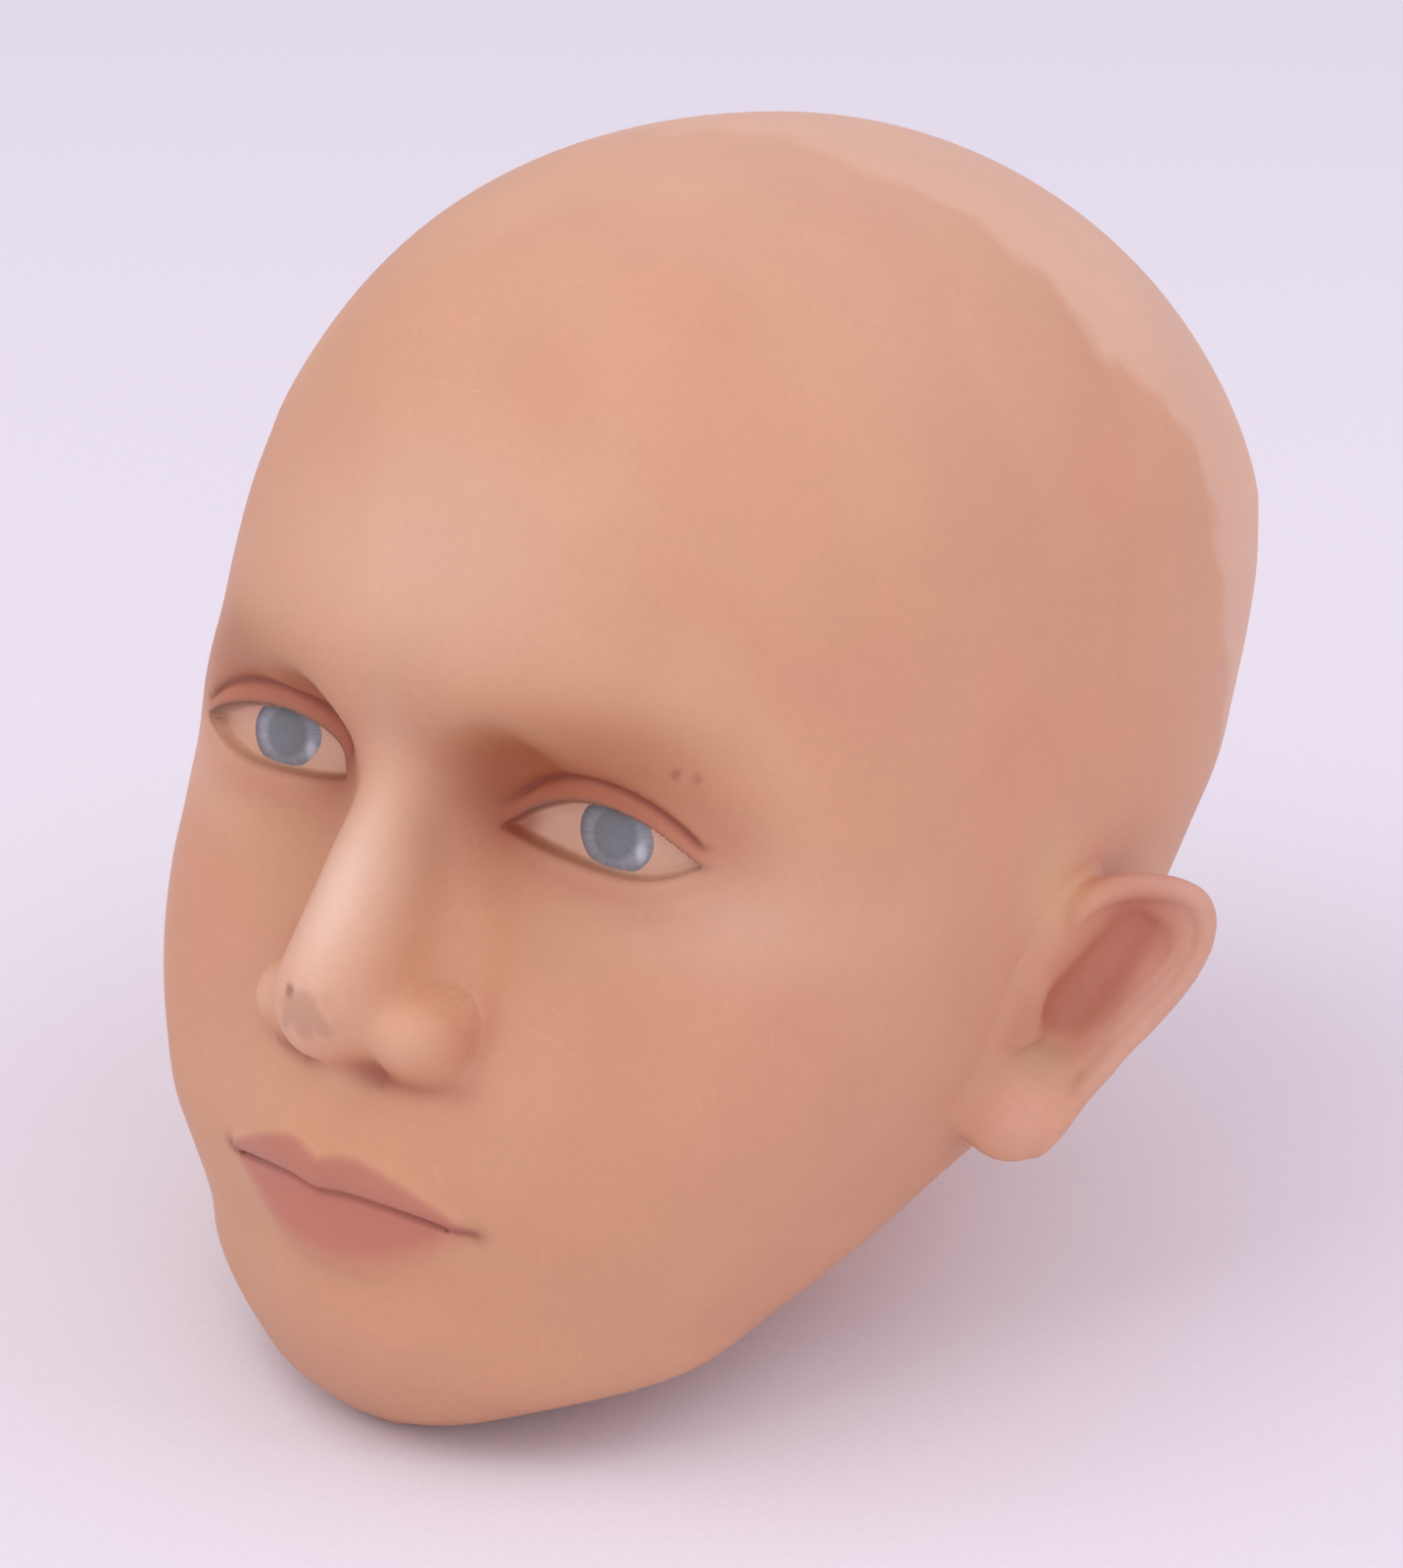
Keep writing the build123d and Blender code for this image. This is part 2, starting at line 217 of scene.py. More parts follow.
def tapered_rod(p: Array, a: Sequence[float], b: Sequence[float], ra: float, rb: float) -> Array:
    """Distance to a round-ended tapered rod.

    Args:
        p: Points, mm.
        a: One end.
        b: The other end.
        ra: Radius at the first end.
        rb: Radius at the other end.

    Returns:
        Distances, negative inside.
    """
    start = np.asarray(a, float)
    along = np.asarray(b, float) - start
    t = np.clip(((p - start) @ along) / (along @ along), 0.0, 1.0)
    return np.linalg.norm(p - start - t[:, None] * along, axis=1) - (ra + (rb - ra) * t)


def noise(p: Array, size: float, seed: int) -> Array:
    """Smooth repeatable noise of about -1 to 1, as a sum of plane waves.

    Args:
        p: Points, mm.
        size: The size of a patch, mm.
        seed: Which noise.

    Returns:
        One value for each point.
    """
    draws = np.random.default_rng(seed)
    total = np.zeros(len(p))
    for _ in range(14):
        way = draws.normal(size=3)
        way *= (0.6 + 0.9 * draws.random()) / np.linalg.norm(way)
        total += np.sin(p @ way * (2 * math.pi / (2 * size)) + draws.random() * 2 * math.pi)
    return total / 3.7


# ---------------------------------------------------------------- Blender helpers


def deselect_all() -> None:
    """Leaves edit mode and clears the selection."""
    if bpy.context.object and bpy.context.object.mode != "OBJECT":
        bpy.ops.object.mode_set(mode="OBJECT")
    bpy.ops.object.select_all(action="DESELECT")


def make_active(piece: bpy.types.Object) -> None:
    """Selects one object and makes it active."""
    deselect_all()
    piece.select_set(True)
    bpy.context.view_layer.objects.active = piece


@contextmanager
def editing_all(piece: bpy.types.Object) -> Iterator[None]:
    """Edits one mesh with all of it selected, then leaves edit mode.

    Args:
        piece: The mesh object.
    """
    make_active(piece)
    bpy.ops.object.mode_set(mode="EDIT")
    bpy.ops.mesh.select_all(action="SELECT")
    yield
    bpy.ops.object.mode_set(mode="OBJECT")


def points_of(piece: bpy.types.Object) -> Array:
    """The object's points as an array."""
    flat = np.empty(len(piece.data.vertices) * 3)
    piece.data.vertices.foreach_get("co", flat)
    return flat.reshape(-1, 3)


def place_points(piece: bpy.types.Object, points: Array) -> None:
    """Writes an array back to the object's points."""
    piece.data.vertices.foreach_set("co", points.astype(np.float32).ravel())
    piece.data.update()


def face_middles(piece: bpy.types.Object) -> Array:
    """The middle of each face as an array."""
    flat = np.empty(len(piece.data.polygons) * 3)
    piece.data.polygons.foreach_get("center", flat)
    return flat.reshape(-1, 3)


def select_faces(piece: bpy.types.Object, chosen: Array) -> None:
    """Selects the faces of a mesh in object mode.

    Args:
        piece: The mesh object.
        chosen: One truth value for each face.
    """
    make_active(piece)
    bpy.ops.object.mode_set(mode="EDIT")
    bpy.ops.mesh.select_mode(type="FACE")
    bpy.ops.mesh.select_all(action="DESELECT")
    bpy.ops.object.mode_set(mode="OBJECT")
    piece.data.polygons.foreach_set("select", chosen.astype(bool))


def split_faces(piece: bpy.types.Object, chosen: Array, cuts: int = 1) -> None:
    """Subdivides the chosen faces.

    Args:
        piece: The mesh object.
        chosen: One truth value for each face.
        cuts: Cuts in each edge.
    """
    select_faces(piece, chosen)
    bpy.ops.object.mode_set(mode="EDIT")
    bpy.ops.mesh.subdivide(number_cuts=cuts, ngon=True)
    bpy.ops.object.mode_set(mode="OBJECT")


def write_colours(piece: bpy.types.Object, name: str, colours: Array) -> None:
    """Stores one linear colour for each point.

    Args:
        piece: The mesh object.
        name: The attribute's name.
        colours: Linear red, green and blue of each point.
    """
    layer = piece.data.color_attributes.new(name=name, type="FLOAT_COLOR", domain="POINT")
    rgba = np.ones((len(colours), 4), np.float32)
    rgba[:, :3] = np.clip(colours, 0, 1)
    layer.data.foreach_set("color", rgba.ravel())


def add_node(
    tree: bpy.types.NodeTree, kind: str, settings: dict | None = None, links: dict | None = None
) -> bpy.types.Node:
    """Adds one shader node with its settings and its links.

    Args:
        tree: The material's node tree.
        kind: The node's type name.
        settings: Socket names or numbers, or attribute names, and their values.
        links: Socket names or numbers, and the sockets that feed them.

    Returns:
        The new node.
    """
    node = tree.nodes.new(kind)
    for key, value in (settings or {}).items():
        if isinstance(key, int) or (key in node.inputs and not hasattr(type(node), str(key))):
            node.inputs[key].default_value = value
        else:
            setattr(node, key, value)
    for key, source in (links or {}).items():
        tree.links.new(source, node.inputs[key])
    return node


def new_material(name: str) -> tuple[bpy.types.Material, bpy.types.NodeTree, bpy.types.Node]:
    """Starts a material.

    Args:
        name: The material's name.

    Returns:
        The material, its node tree and its shader.
    """
    material = bpy.data.materials.new(name)
    material.use_nodes = True
    tree = material.node_tree
    return material, tree, tree.nodes["Principled BSDF"]


def add_noise(
    tree: bpy.types.NodeTree,
    place: bpy.types.NodeSocket,
    scale: float,
    detail: float,
    roughness: float = 0.5,
) -> bpy.types.NodeSocket:
    """Adds a noise texture.

    Args:
        tree: The material's node tree.
        place: The coordinates.
        scale: Patches to a unit of the coordinates.
        detail: Octaves.
        roughness: How strong the finer octaves are.

    Returns:
        The noise value.
    """
    settings = {"Scale": scale, "Detail": detail, "Roughness": roughness}
    return add_node(tree, "ShaderNodeTexNoise", settings, {"Vector": place}).outputs["Fac"]


def add_range(
    tree: bpy.types.NodeTree,
    value: bpy.types.NodeSocket,
    span: tuple[float, float],
    result: tuple[float, float],
) -> bpy.types.NodeSocket:
    """Maps a value from one span to another.

    Args:
        tree: The material's node tree.
        value: The value.
        span: Where it comes from.
        result: What the two ends of the span become.

    Returns:
        The mapped value.
    """
    settings = {"From Min": span[0], "From Max": span[1], "To Min": result[0], "To Max": result[1]}
    return add_node(tree, "ShaderNodeMapRange", settings, {"Value": value}).outputs["Result"]


def add_ramp(
    tree: bpy.types.NodeTree,
    value: bpy.types.NodeSocket,
    colours: tuple[str, str],
    places: tuple[float, float] = (0.0, 1.0),
) -> bpy.types.NodeSocket:
    """Turns a value to a colour between two.

    Args:
        tree: The material's node tree.
        value: The value.
        colours: The two sRGB colours.
        places: The values that they stand at.

    Returns:
        The colour.
    """
    ramp = add_node(tree, "ShaderNodeValToRGB", None, {"Fac": value})
    for stop, colour, at in zip(ramp.color_ramp.elements, colours, places):
        stop.position, stop.color = at, linear(colour)
    return ramp.outputs["Color"]


def add_stretch(
    tree: bpy.types.NodeTree,
    place: bpy.types.NodeSocket,
    sizes_mm: Sequence[float],
    turn: tuple[float, float, float] = (0.0, 0.0, 0.0),
) -> bpy.types.NodeSocket:
    """Scales the coordinates so that one unit is a real size along each axis.

    Args:
        tree: The material's node tree.
        place: The coordinates, metres.
        sizes_mm: The real size along each axis, mm.
        turn: Rotation of the pattern, radians.

    Returns:
        The new coordinates.
    """
    settings = {"Rotation": turn, "Scale": tuple(1 / (size * MM) for size in sizes_mm)}
    return add_node(tree, "ShaderNodeMapping", settings, {"Vector": place}).outputs["Vector"]


def multiply(
    tree: bpy.types.NodeTree, first: bpy.types.NodeSocket, second: bpy.types.NodeSocket
) -> bpy.types.NodeSocket:
    """Multiplies two values."""
    settings = {"operation": "MULTIPLY"}
    return add_node(tree, "ShaderNodeMath", settings, {0: first, 1: second}).outputs["Value"]


def roughen(
    tree: bpy.types.NodeTree,
    shader: bpy.types.Node,
    height: bpy.types.NodeSocket,
    strength: float,
    depth_mm: float,
) -> None:
    """Gives the shader a bump.

    Args:
        tree: The material's node tree.
        shader: The shader.
        height: The height value.
        strength: How strong the bump is.
        depth_mm: Its depth, mm.
    """
    settings = {"Strength": strength, "Distance": depth_mm * MM}
    bump = add_node(tree, "ShaderNodeBump", settings, {"Height": height})
    tree.links.new(bump.outputs["Normal"], shader.inputs["Normal"])


# ---------------------------------------------------------------- the upright frame


@dataclass(frozen=True)
class HeadPlace:
    """Where the upright head frame lies over the post bore."""

    recline: float = 12.5
    neck_y: float = 2.0
    eye_height: float = 82.0

    def to_row(self, p: Array) -> Array:
        """Turns upright millimetres to metres over the bore.

        Args:
            p: Upright points, mm.

        Returns:
            The points in metres.
        """
        c, s = math.cos(math.radians(self.recline)), math.sin(math.radians(self.recline))
        y = p[:, 1] * c + p[:, 2] * s - self.neck_y
        z = -p[:, 1] * s + p[:, 2] * c + self.eye_height
        return np.stack([p[:, 0], y, z], 1) * MM

    @classmethod
    def from_eye(cls, eye_middle_y: float, ball: float) -> "HeadPlace":
        """Reads the place back from the CAD eye.

        Args:
            eye_middle_y: The eyeball's middle in the upright frame, mm.
            ball: The eyeball's radius, mm.

        Returns:
            The head's place.
        """
        low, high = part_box("left_eye")
        c, s = math.cos(math.radians(cls.recline)), math.sin(math.radians(cls.recline))
        neck_y = eye_middle_y * c - (low.y / MM + ball)
        eye_height = (high.z / MM - ball) + eye_middle_y * s
        return cls(recline=cls.recline, neck_y=neck_y, eye_height=eye_height)


# ---------------------------------------------------------------- the sculpted form


@dataclass(frozen=True)
class HeadForm:
    """The head's skin as one smooth form. All sizes are upright millimetres."""

    place: HeadPlace
    # height, front, back, half width, widest at, front power, back power
    stations: tuple[tuple[float, ...], ...] = (
        (-97.0, -69.5, -62.0, 5.0, -66.5, 2.3, 2.1),
        (-94.0, -73.0, -59.1, 15.8, -66.0, 2.3, 2.5),
        (-89.0, -75.6, -49.3, 27.9, -60.0, 2.3, 2.9),
        (-82.0, -76.0, -35.5, 41.3, -50.0, 2.3, 3.1),
        (-74.0, -76.8, -20.4, 46.6, -38.0, 2.65, 3.1),
        (-66.0, -78.2, -4.7, 50.8, -26.0, 3.2, 3.0),
        (-58.0, -79.4, 16.0, 53.9, -15.0, 3.85, 2.5),
        (-50.0, -79.4, 37.0, 57.2, -6.0, 4.1, 2.2),
        (-42.0, -78.6, 54.0, 60.0, 0.0, 4.3, 2.08),
        (-34.0, -77.3, 66.0, 62.3, 3.0, 4.35, 2.04),
        (-26.0, -76.0, 75.5, 64.0, 5.0, 4.25, 2.02),
        (-16.0, -75.0, 83.5, 65.5, 7.0, 3.9, 2.02),
        (-6.0, -76.0, 89.5, 66.9, 8.0, 3.4, 2.02),
        (4.0, -80.4, 93.2, 68.2, 10.0, 2.9, 2.04),
        (14.0, -86.2, 95.2, 68.0, 12.0, 2.45, 2.04),
        (24.0, -86.0, 96.0, 67.6, 14.0, 2.4, 2.06),
        (34.0, -83.8, 95.6, 66.8, 15.0, 2.42, 2.1),
        (44.0, -80.4, 94.2, 65.3, 15.0, 2.42, 2.12),
    )
    crown: float = 96.4
    dome_power: float = 1.56
    dome_lean: float = -7.5
    dome_ease: tuple[float, float, float] = (0.22, 0.075, 0.12)
    neck_half: tuple[float, float] = (27.4, 36.4)
    neck_flare: float = 0.0013
    neck_end: float = -14.0
    chin_end: float = -97.6
    wall: float = 5.5
    neck_wall: float = 2.4
    eye_middle: tuple[float, float, float] = (30.5, -58.0, 0.0)
    lid_radius: float = 13.5
    lid_depth: float = 2.3
    nose_root: tuple[float, float, float] = (0.0, -72.6, 7.0)
    nose_root_radius: float = 7.0
    nose_tip: tuple[float, float, float] = (0.0, -88.3, -27.8)
    nose_tip_radius: float = 8.7
    wing: tuple[float, float, float] = (10.8, -80.4, -32.4)
    wing_radii: tuple[float, float, float] = (6.9, 9.8, 6.7)
    # |x|, then the heights of the upper lip's edge, the parting line and the lower lip's edge
    lip_x: tuple[float, ...] = (0.0, 5.0, 11.0, 17.0, 21.0, 23.5)
    lip_top: tuple[float, ...] = (-53.2, -51.6, -53.0, -55.6, -57.8, -59.2)
    lip_part: tuple[float, ...] = (-58.2, -57.6, -57.9, -58.7, -59.3, -59.4)
    lip_bottom: tuple[float, ...] = (-70.2, -70.0, -68.4, -65.0, -61.6, -59.6)
    lip_sweep: float = 11.0
    # |x|, then the heights of the upper lid's edge, its crease and the lower lid's edge
    lid_x: tuple[float, ...] = (14.5, 17.0, 21.0, 26.0, 31.0, 36.0, 40.0, 43.0, 45.5)
    lid_top: tuple[float, ...] = (-1.6, 0.6, 2.7, 4.1, 4.4, 3.7, 2.5, 1.1, -0.4)
    lid_bottom: tuple[float, ...] = (-1.8, -2.6, -3.5, -4.2, -4.5, -4.3, -3.3, -2.0, -0.6)
    lid_crease: tuple[float, ...] = (1.8, 4.6, 6.9, 8.2, 8.5, 7.7, 6.2, 4.4, 2.4)

    def base(self, p: Array) -> Array:
        """The plain head without a face.

        Args:
            p: Points, mm.

        Returns:
            Distances, negative inside.
        """
        flat = self._base_across(p)
        above = self._base_across(p + np.array([0.0, 0.0, 1.0]))
        steep = np.clip(above - flat, -6, 6)
        out = flat / np.sqrt(1 + steep * steep)
        out = np.maximum(out, p[:, 2] - self.crown)
        return np.maximum(out, self.chin_end - p[:, 2])

    def _base_across(self, p: Array) -> Array:
        """Distance to the head's section, measured across it.

        Args:
            p: Points, mm.

        Returns:
            Distances, negative inside.
        """
        z = p[:, 2]
        rows = np.array(self.stations)
        front, back, half, middle, n_front, n_back = (
            through(z, rows[:, 0], rows[:, k]) for k in range(1, 7)
        )
        top = rows[-1, 0]
        q = np.clip((z - top) / (self.crown - top), 0.0, 1.0)
        spread = np.sqrt(np.maximum(1 - q**self.dome_power, 1e-4))
        centre = middle + self.dome_lean * q
        ease = q * (1 - q) ** 2
        front = centre + (front - middle) * spread * (1 - self.dome_ease[0] * ease)
        full = step_up(q, 0.0, 0.5)
        n_back = n_back - 0.2 * full
        back = centre + (back - middle) * spread * (1 + self.dome_ease[1] * full)
        half = half * spread * (1 - self.dome_ease[2] * ease)
        x = np.abs(p[:, 0])
        y = p[:, 1] - centre
        ahead = y < 0
        reach = np.where(ahead, centre - front, back - centre)
        round_side = step_up(np.abs(y) / np.maximum(reach, 1.0), 0.0, 0.6)
        power = 2.0 + (np.where(ahead, n_front, n_back) - 2.0) * round_side
        g = ((x / half) ** power + (np.abs(y) / reach) ** power) ** (1 / power)
        rho = np.hypot(x, y)
        return np.where(g > 1e-6, rho * (1 - 1 / np.maximum(g, 1e-6)), -np.minimum(half, reach))

    def neck(self, p: Array) -> Array:
        """The upright neck plug over the bore.

        Args:
            p: Points, mm.

        Returns:
            Distances, negative inside.
        """
        row = self.place.to_row(p) / MM
        grow = 1 + self.neck_flare * np.clip(row[:, 2], 0, 60)
        a, b = self.neck_half[0] * grow, self.neck_half[1] * grow
        g = np.hypot(row[:, 0] / a, row[:, 1] / b)
        side = np.hypot(row[:, 0], row[:, 1]) * (1 - 1 / np.maximum(g, 1e-6))
        side = np.where(g > 0.05, side, -a)
        return np.maximum(np.maximum(side, self.neck_end - row[:, 2]), row[:, 2] - 60)

    def lip_front(self, x: Array) -> Array:
        """How far the lips sweep back at a distance from the middle."""
        return self.lip_sweep * (np.abs(x) / self.lip_x[-1]) ** 2.1

    def lip_lines(self, x: Array) -> tuple[Array, Array, Array]:
        """Heights of the upper lip's edge, the parting line and the lower lip's edge."""
        heights = (self.lip_top, self.lip_part, self.lip_bottom)
        return tuple(through(x, self.lip_x, values) for values in heights)

    def lid_lines(self, x: Array) -> tuple[Array, Array, Array]:
        """Heights of the upper lid's edge, the lower lid's edge and the crease."""
        heights = (self.lid_top, self.lid_bottom, self.lid_crease)
        return tuple(through(x, self.lid_x, values) for values in heights)

    def mouth(self, p: Array, skin: Array) -> Array:
        """Adds the muzzle, the lips and the parting line.

        Args:
            p: Points, mm, already folded to x >= 0.
            skin: Distance to the face so far.

        Returns:
            Distance with the mouth.
        """
        x, y, z = p[:, 0], p[:, 1], p[:, 2]
        skin = smooth_union(skin, ellipsoid(p, (0, -65.5, -52.5), (28.5, 22.0, 23.0)), 8.0)
        skin = smooth_union(skin, ellipsoid(p, (0, -66.5, -79.5), (20.0, 16.0, 14.0)), 7.0)
        skin = smooth_cut(skin, tapered_rod(p, (0, -92.2, -42), (0, -92.4, -51), 2.8, 3.2), 2.0)
        front = self.lip_front(x)
        top, part, bottom = self.lip_lines(x)
        fade = step_up(x, 25.0, 21.0)
        upper_half = (top - part) / 2 + 0.7
        uy = (y - (-84.8 + front)) / 4.7
        uz = (z - (top + part) / 2) / upper_half
        upper = (np.hypot(uy, uz) - 1) * np.minimum(upper_half, 3.4)
        lower_half = (part - bottom) / 2 + 0.5
        ly = (y - (-81.6 + front * 0.98)) / 5.0
        lz = (z - (part + bottom) / 2 + 0.2) / lower_half
        lower = (np.hypot(ly, lz) - 1) * np.minimum(lower_half, 4.2)
        away = (1 - fade) * 6.0
        skin = smooth_union(skin, upper + away, 2.4)
        skin = smooth_union(skin, lower + away, 2.2)
        groove = np.hypot((y - (-88.2 + front)) * 0.45, z - part) - 0.35
        return smooth_cut(skin, groove + away, 1.1)

    def nose(self, p: Array, skin: Array) -> Array:
        """Adds the nose with its wings and shallow nostril arches.

        Args:
            p: Points, mm, already folded to x >= 0.
            skin: Distance to the face so far.

        Returns:
            Distance with the nose.
        """
        bridge = tapered_rod(
            p, self.nose_root, self.nose_tip, self.nose_root_radius, self.nose_tip_radius
        )
        skirt = tapered_rod(p, (0, -66.5, 2), (0, -72.5, -26), 9.5, 13.0)
        skin = smooth_union(skin, smooth_union(bridge, skirt, 6.0), 6.0)
        wing = ellipsoid(p, self.wing, self.wing_radii)
        foot = tapered_rod(p, (0, -90.6, -31.4), (0, -82.5, -35.4), 5.4, 4.4)
        tip = smooth_union(smooth_union(wing, foot, 3.0), bridge, 4.5)
        skin = smooth_union(skin, tip, 1.6)
        arch = ellipsoid(p, (6.6, -85.6, -40.6), (3.0, 5.4, 3.4))
        return smooth_cut(skin, arch, 1.8)

    def brow(self, p: Array, skin: Array) -> Array:
        """Hollows the orbit, then adds the lids and opens them.

        Args:
            p: Points, mm, already folded to x >= 0.
            skin: Distance to the face so far.

        Returns:
            Distance with the eye.
        """
        x, z = p[:, 0], p[:, 2]
        skin = smooth_cut(skin, ellipsoid(p, (30.0, -87.5, 1.0), (21.0, 17.5, 11.5)), 6.0)
        skin = smooth_cut(skin, ellipsoid(p, (18.5, -84.0, 4.0), (7.0, 12.0, 8.5)), 5.0)
        ball = np.linalg.norm(p - np.array(self.eye_middle), axis=1) - self.lid_radius
        skin = smooth_union(skin, ball, 2.6)
        top, bottom, crease = self.lid_lines(x)
        window = step_up(x, 13.5, 17.0) * step_up(x, 47.5, 44.0)
        skin = skin + window * 0.85 * bell(z - crease, 1.0)
        skin = skin + window * 0.35 * bell(z - (bottom - 3.6), 1.1)
        inside = np.minimum(top - z, z - bottom)
        ends = np.minimum(x - self.lid_x[0], self.lid_x[-1] - x)
        return skin + self.lid_depth * step_up(np.minimum(inside, ends), -0.28, 0.42)

    def skin(self, p: Array) -> Array:
        """The whole outer skin, without the ears.

        Args:
            p: Points, mm.

        Returns:
            Distances, negative inside.
        """
        out = self.base(p)
        face = (p[:, 1] < -48) & (p[:, 2] < 34)
        if face.any():
            q = p[face].copy()
            q[:, 0] = np.abs(q[:, 0])
            part = self.nose(q, out[face])
            part = self.mouth(q, part)
            out[face] = self.brow(q, part)
        low = p[:, 2] < -20
        if low.any():
            out[low] = smooth_union(out[low], self.neck(p[low]), 4.0)
        return out

    def hollow(self, p: Array) -> Array:
        """The inner wall, a wall's thickness inside the plain head."""
        out = smooth_union(self.base(p) + self.wall, self.neck(p) + self.neck_wall, 6.0)
        return smooth_cut(out, ellipsoid(p, (0, -84, 0), (58, 46, 32)), 4.0)


# ---------------------------------------------------------------- the ears


@dataclass(frozen=True)
class EarForm:
    """One cast ear, on a plate that stands off the head. Sizes are millimetres."""

    head: HeadForm
    side: Side
    root: tuple[float, float, float] = (66.0, -3.0, -26.0)
    standoff: float = 40.0
    skirt: float = 3.2
    sink: float = 0.16
    depth: float = 3.0
    voxel: float = 0.55
    # the outline: out along the plate and up it, round from the lobe's root
    outline: tuple[tuple[float, float], ...] = (
        (-11.0, -20.0), (-8.0, -22.4), (-4.9, -23.9), (-1.5, -24.4), (1.8, -23.2),
        (4.6, -20.2), (8.3, -15.2), (12.5, -9.2), (16.8, -3.4), (21.0, 2.4),
        (23.6, 7.2), (24.9, 11.8), (24.6, 16.0), (22.6, 19.2), (19.0, 20.9),
        (14.5, 21.5), (9.5, 21.2), (4.5, 19.5), (0.0, 15.5), (-4.0, 9.0),
        (-8.0, 0.0), (-11.0, -9.0), (-12.5, -16.0),
    )
    outline_middle: tuple[float, float] = (5.5, 1.0)

    def from_edge(self, q: Array) -> Array:
        """Distance across the plate from the ear's outline.

        Args:
            q: Points in the plate's frame.

        Returns:
            Distances, negative inside the outline.
        """
        rim = np.array(self.outline) - np.array(self.outline_middle)
        turn = np.arctan2(rim[:, 1], rim[:, 0])
        order = np.argsort(turn)
        turn, far = turn[order], np.hypot(rim[:, 0], rim[:, 1])[order]
        full = 2 * math.pi
        knots = np.concatenate([turn[-3:] - full, turn, turn[:3] + full])
        reaches = np.concatenate([far[-3:], far, far[:3]])
        u, v = q[:, 0] - self.outline_middle[0], q[:, 1] - self.outline_middle[1]
        angle = np.arctan2(v, u)
        edge = through(angle, knots, reaches)
        slope = (through(angle + 0.02, knots, reaches) - edge) / 0.02
        return (np.hypot(u, v) - edge) * edge / np.hypot(edge, slope)

    def local(self, p: Array) -> Array:
        """Turns points to the ear's plate.

        Args:
            p: Points in the upright frame, mm.

        Returns:
            Points along the plate, up it and out of its face.
        """
        q = p.copy()
        q[:, 0] *= self.side.value
        q -= np.array(self.root)
        a = math.radians(self.standoff)
        return np.stack(
            [
                q[:, 0] * math.sin(a) + q[:, 1] * math.cos(a),
                q[:, 2],
                q[:, 0] * math.cos(a) - q[:, 1] * math.sin(a),
            ],
            1,
        )

    def shape(self, p: Array) -> Array:
        """The ear by itself.

        Args:
            p: Points in the upright frame, mm.

        Returns:
            Distances, negative inside.
        """
        q = self.local(p)
        u, v, w = q[:, 0], q[:, 1], q[:, 2]
        edge = self.from_edge(q)
        plate = smooth_cut(edge + 0.7, 1.5 - np.abs(w + 0.9), 1.6)
        back = smooth_union(
            ellipsoid(q, (7.5, 5.0, -3.2), (10.5, 13.0, 4.2)),
            ellipsoid(q, (-6.0, 0.0, -3.4), (11.0, 17.0, 5.0)),
            4.0,
        )
        plate = smooth_union(plate, back, 3.0)
        rooted = step_up(u, 3.0, -3.0) * step_up(v, 18.0, 12.0)
        rim = np.hypot(edge + 2.1, w - 0.5) - 2.1 + 6.0 * rooted
        plate = smooth_union(plate, rim, 1.3)
        lobe = ellipsoid(q, (-2.0, -16.8, -0.1), (7.6, 7.2, 3.0))
        plate = smooth_union(plate, lobe, 3.0)
        inner = np.hypot(edge + 6.6, w - 0.1) - 1.6 + 5.0 * step_up(u, 12.0, 6.0)
        plate = smooth_union(plate, inner, 1.8)
        tragus = tapered_rod(q, (-3.0, 3.0, 0.8), (-3.4, -4.0, 1.2), 3.0, 2.8)
        plate = smooth_union(plate, tragus, 3.0)
        concha = tapered_rod(q, (11.8, 12.6, 2.6), (4.4, 0.4, 2.9), 4.0, 5.0)
        plate = smooth_cut(plate, concha, 2.0)
        bowl = ellipsoid(q, (0.4, -8.0, 3.4), (4.4, 3.2, 3.6))
        return smooth_cut(plate, bowl, 1.8)

    def grown(self, p: Array) -> Array:
        """The ear grown onto the head, with a skirt that runs out under the paint.

        Args:
            p: Points in the upright frame, mm.

        Returns:
            Distances, negative inside.
        """
        head = self.head.skin(p)
        out = smooth_union(self.shape(p), head + self.sink, self.skirt)
        out = np.maximum(out, -(head + self.depth))
        near = self.local(p)
        return np.maximum(out, ellipsoid(near, (4.0, 0.0, 0.0), (31.0, 34.0, 26.0)))

    def build(self, name: str) -> bpy.types.Object:
        """Meshes the ear on a fine grid, because its hollows are undercut.

        Args:
            name: The new object's name.

        Returns:
            The ear in upright millimetres.
        """
        low = np.array([52.0, -34.0, -60.0])
        high = np.array([92.0, 30.0, 8.0])
        if self.side is Side.RIGHT:
            low[0], high[0] = -high[0], -low[0]
        counts = np.ceil((high - low) / self.voxel).astype(int)
        axes = [low[k] + self.voxel * np.arange(counts[k]) for k in range(3)]
        grid = np.stack(np.meshgrid(*axes, indexing="ij"), -1).reshape(-1, 3)
        values = self.grown(grid).reshape(counts).astype(np.float32)
        volume = openvdb.FloatGrid(self.voxel * 6)
        volume.copyFromArray(np.clip(values, -self.voxel * 6, self.voxel * 6))
        points, quads = volume.convertToQuads(0.0)
        mesh = bpy.data.meshes.new(name)
        mesh.from_pydata((points * self.voxel + low).tolist(), [], quads[:, ::-1].tolist())
        mesh.validate()
        ear = bpy.data.objects.new(name, mesh)
        bpy.context.scene.collection.objects.link(ear)
        with editing_all(ear):
            bpy.ops.mesh.normals_make_consistent(inside=False)
        smooth = ear.modifiers.new("ease", "SMOOTH")
        smooth.factor, smooth.iterations = 0.35, 2
        bpy.ops.object.modifier_apply(modifier="ease")
        bpy.ops.object.shade_smooth()
        return ear


# ---------------------------------------------------------------- the paint


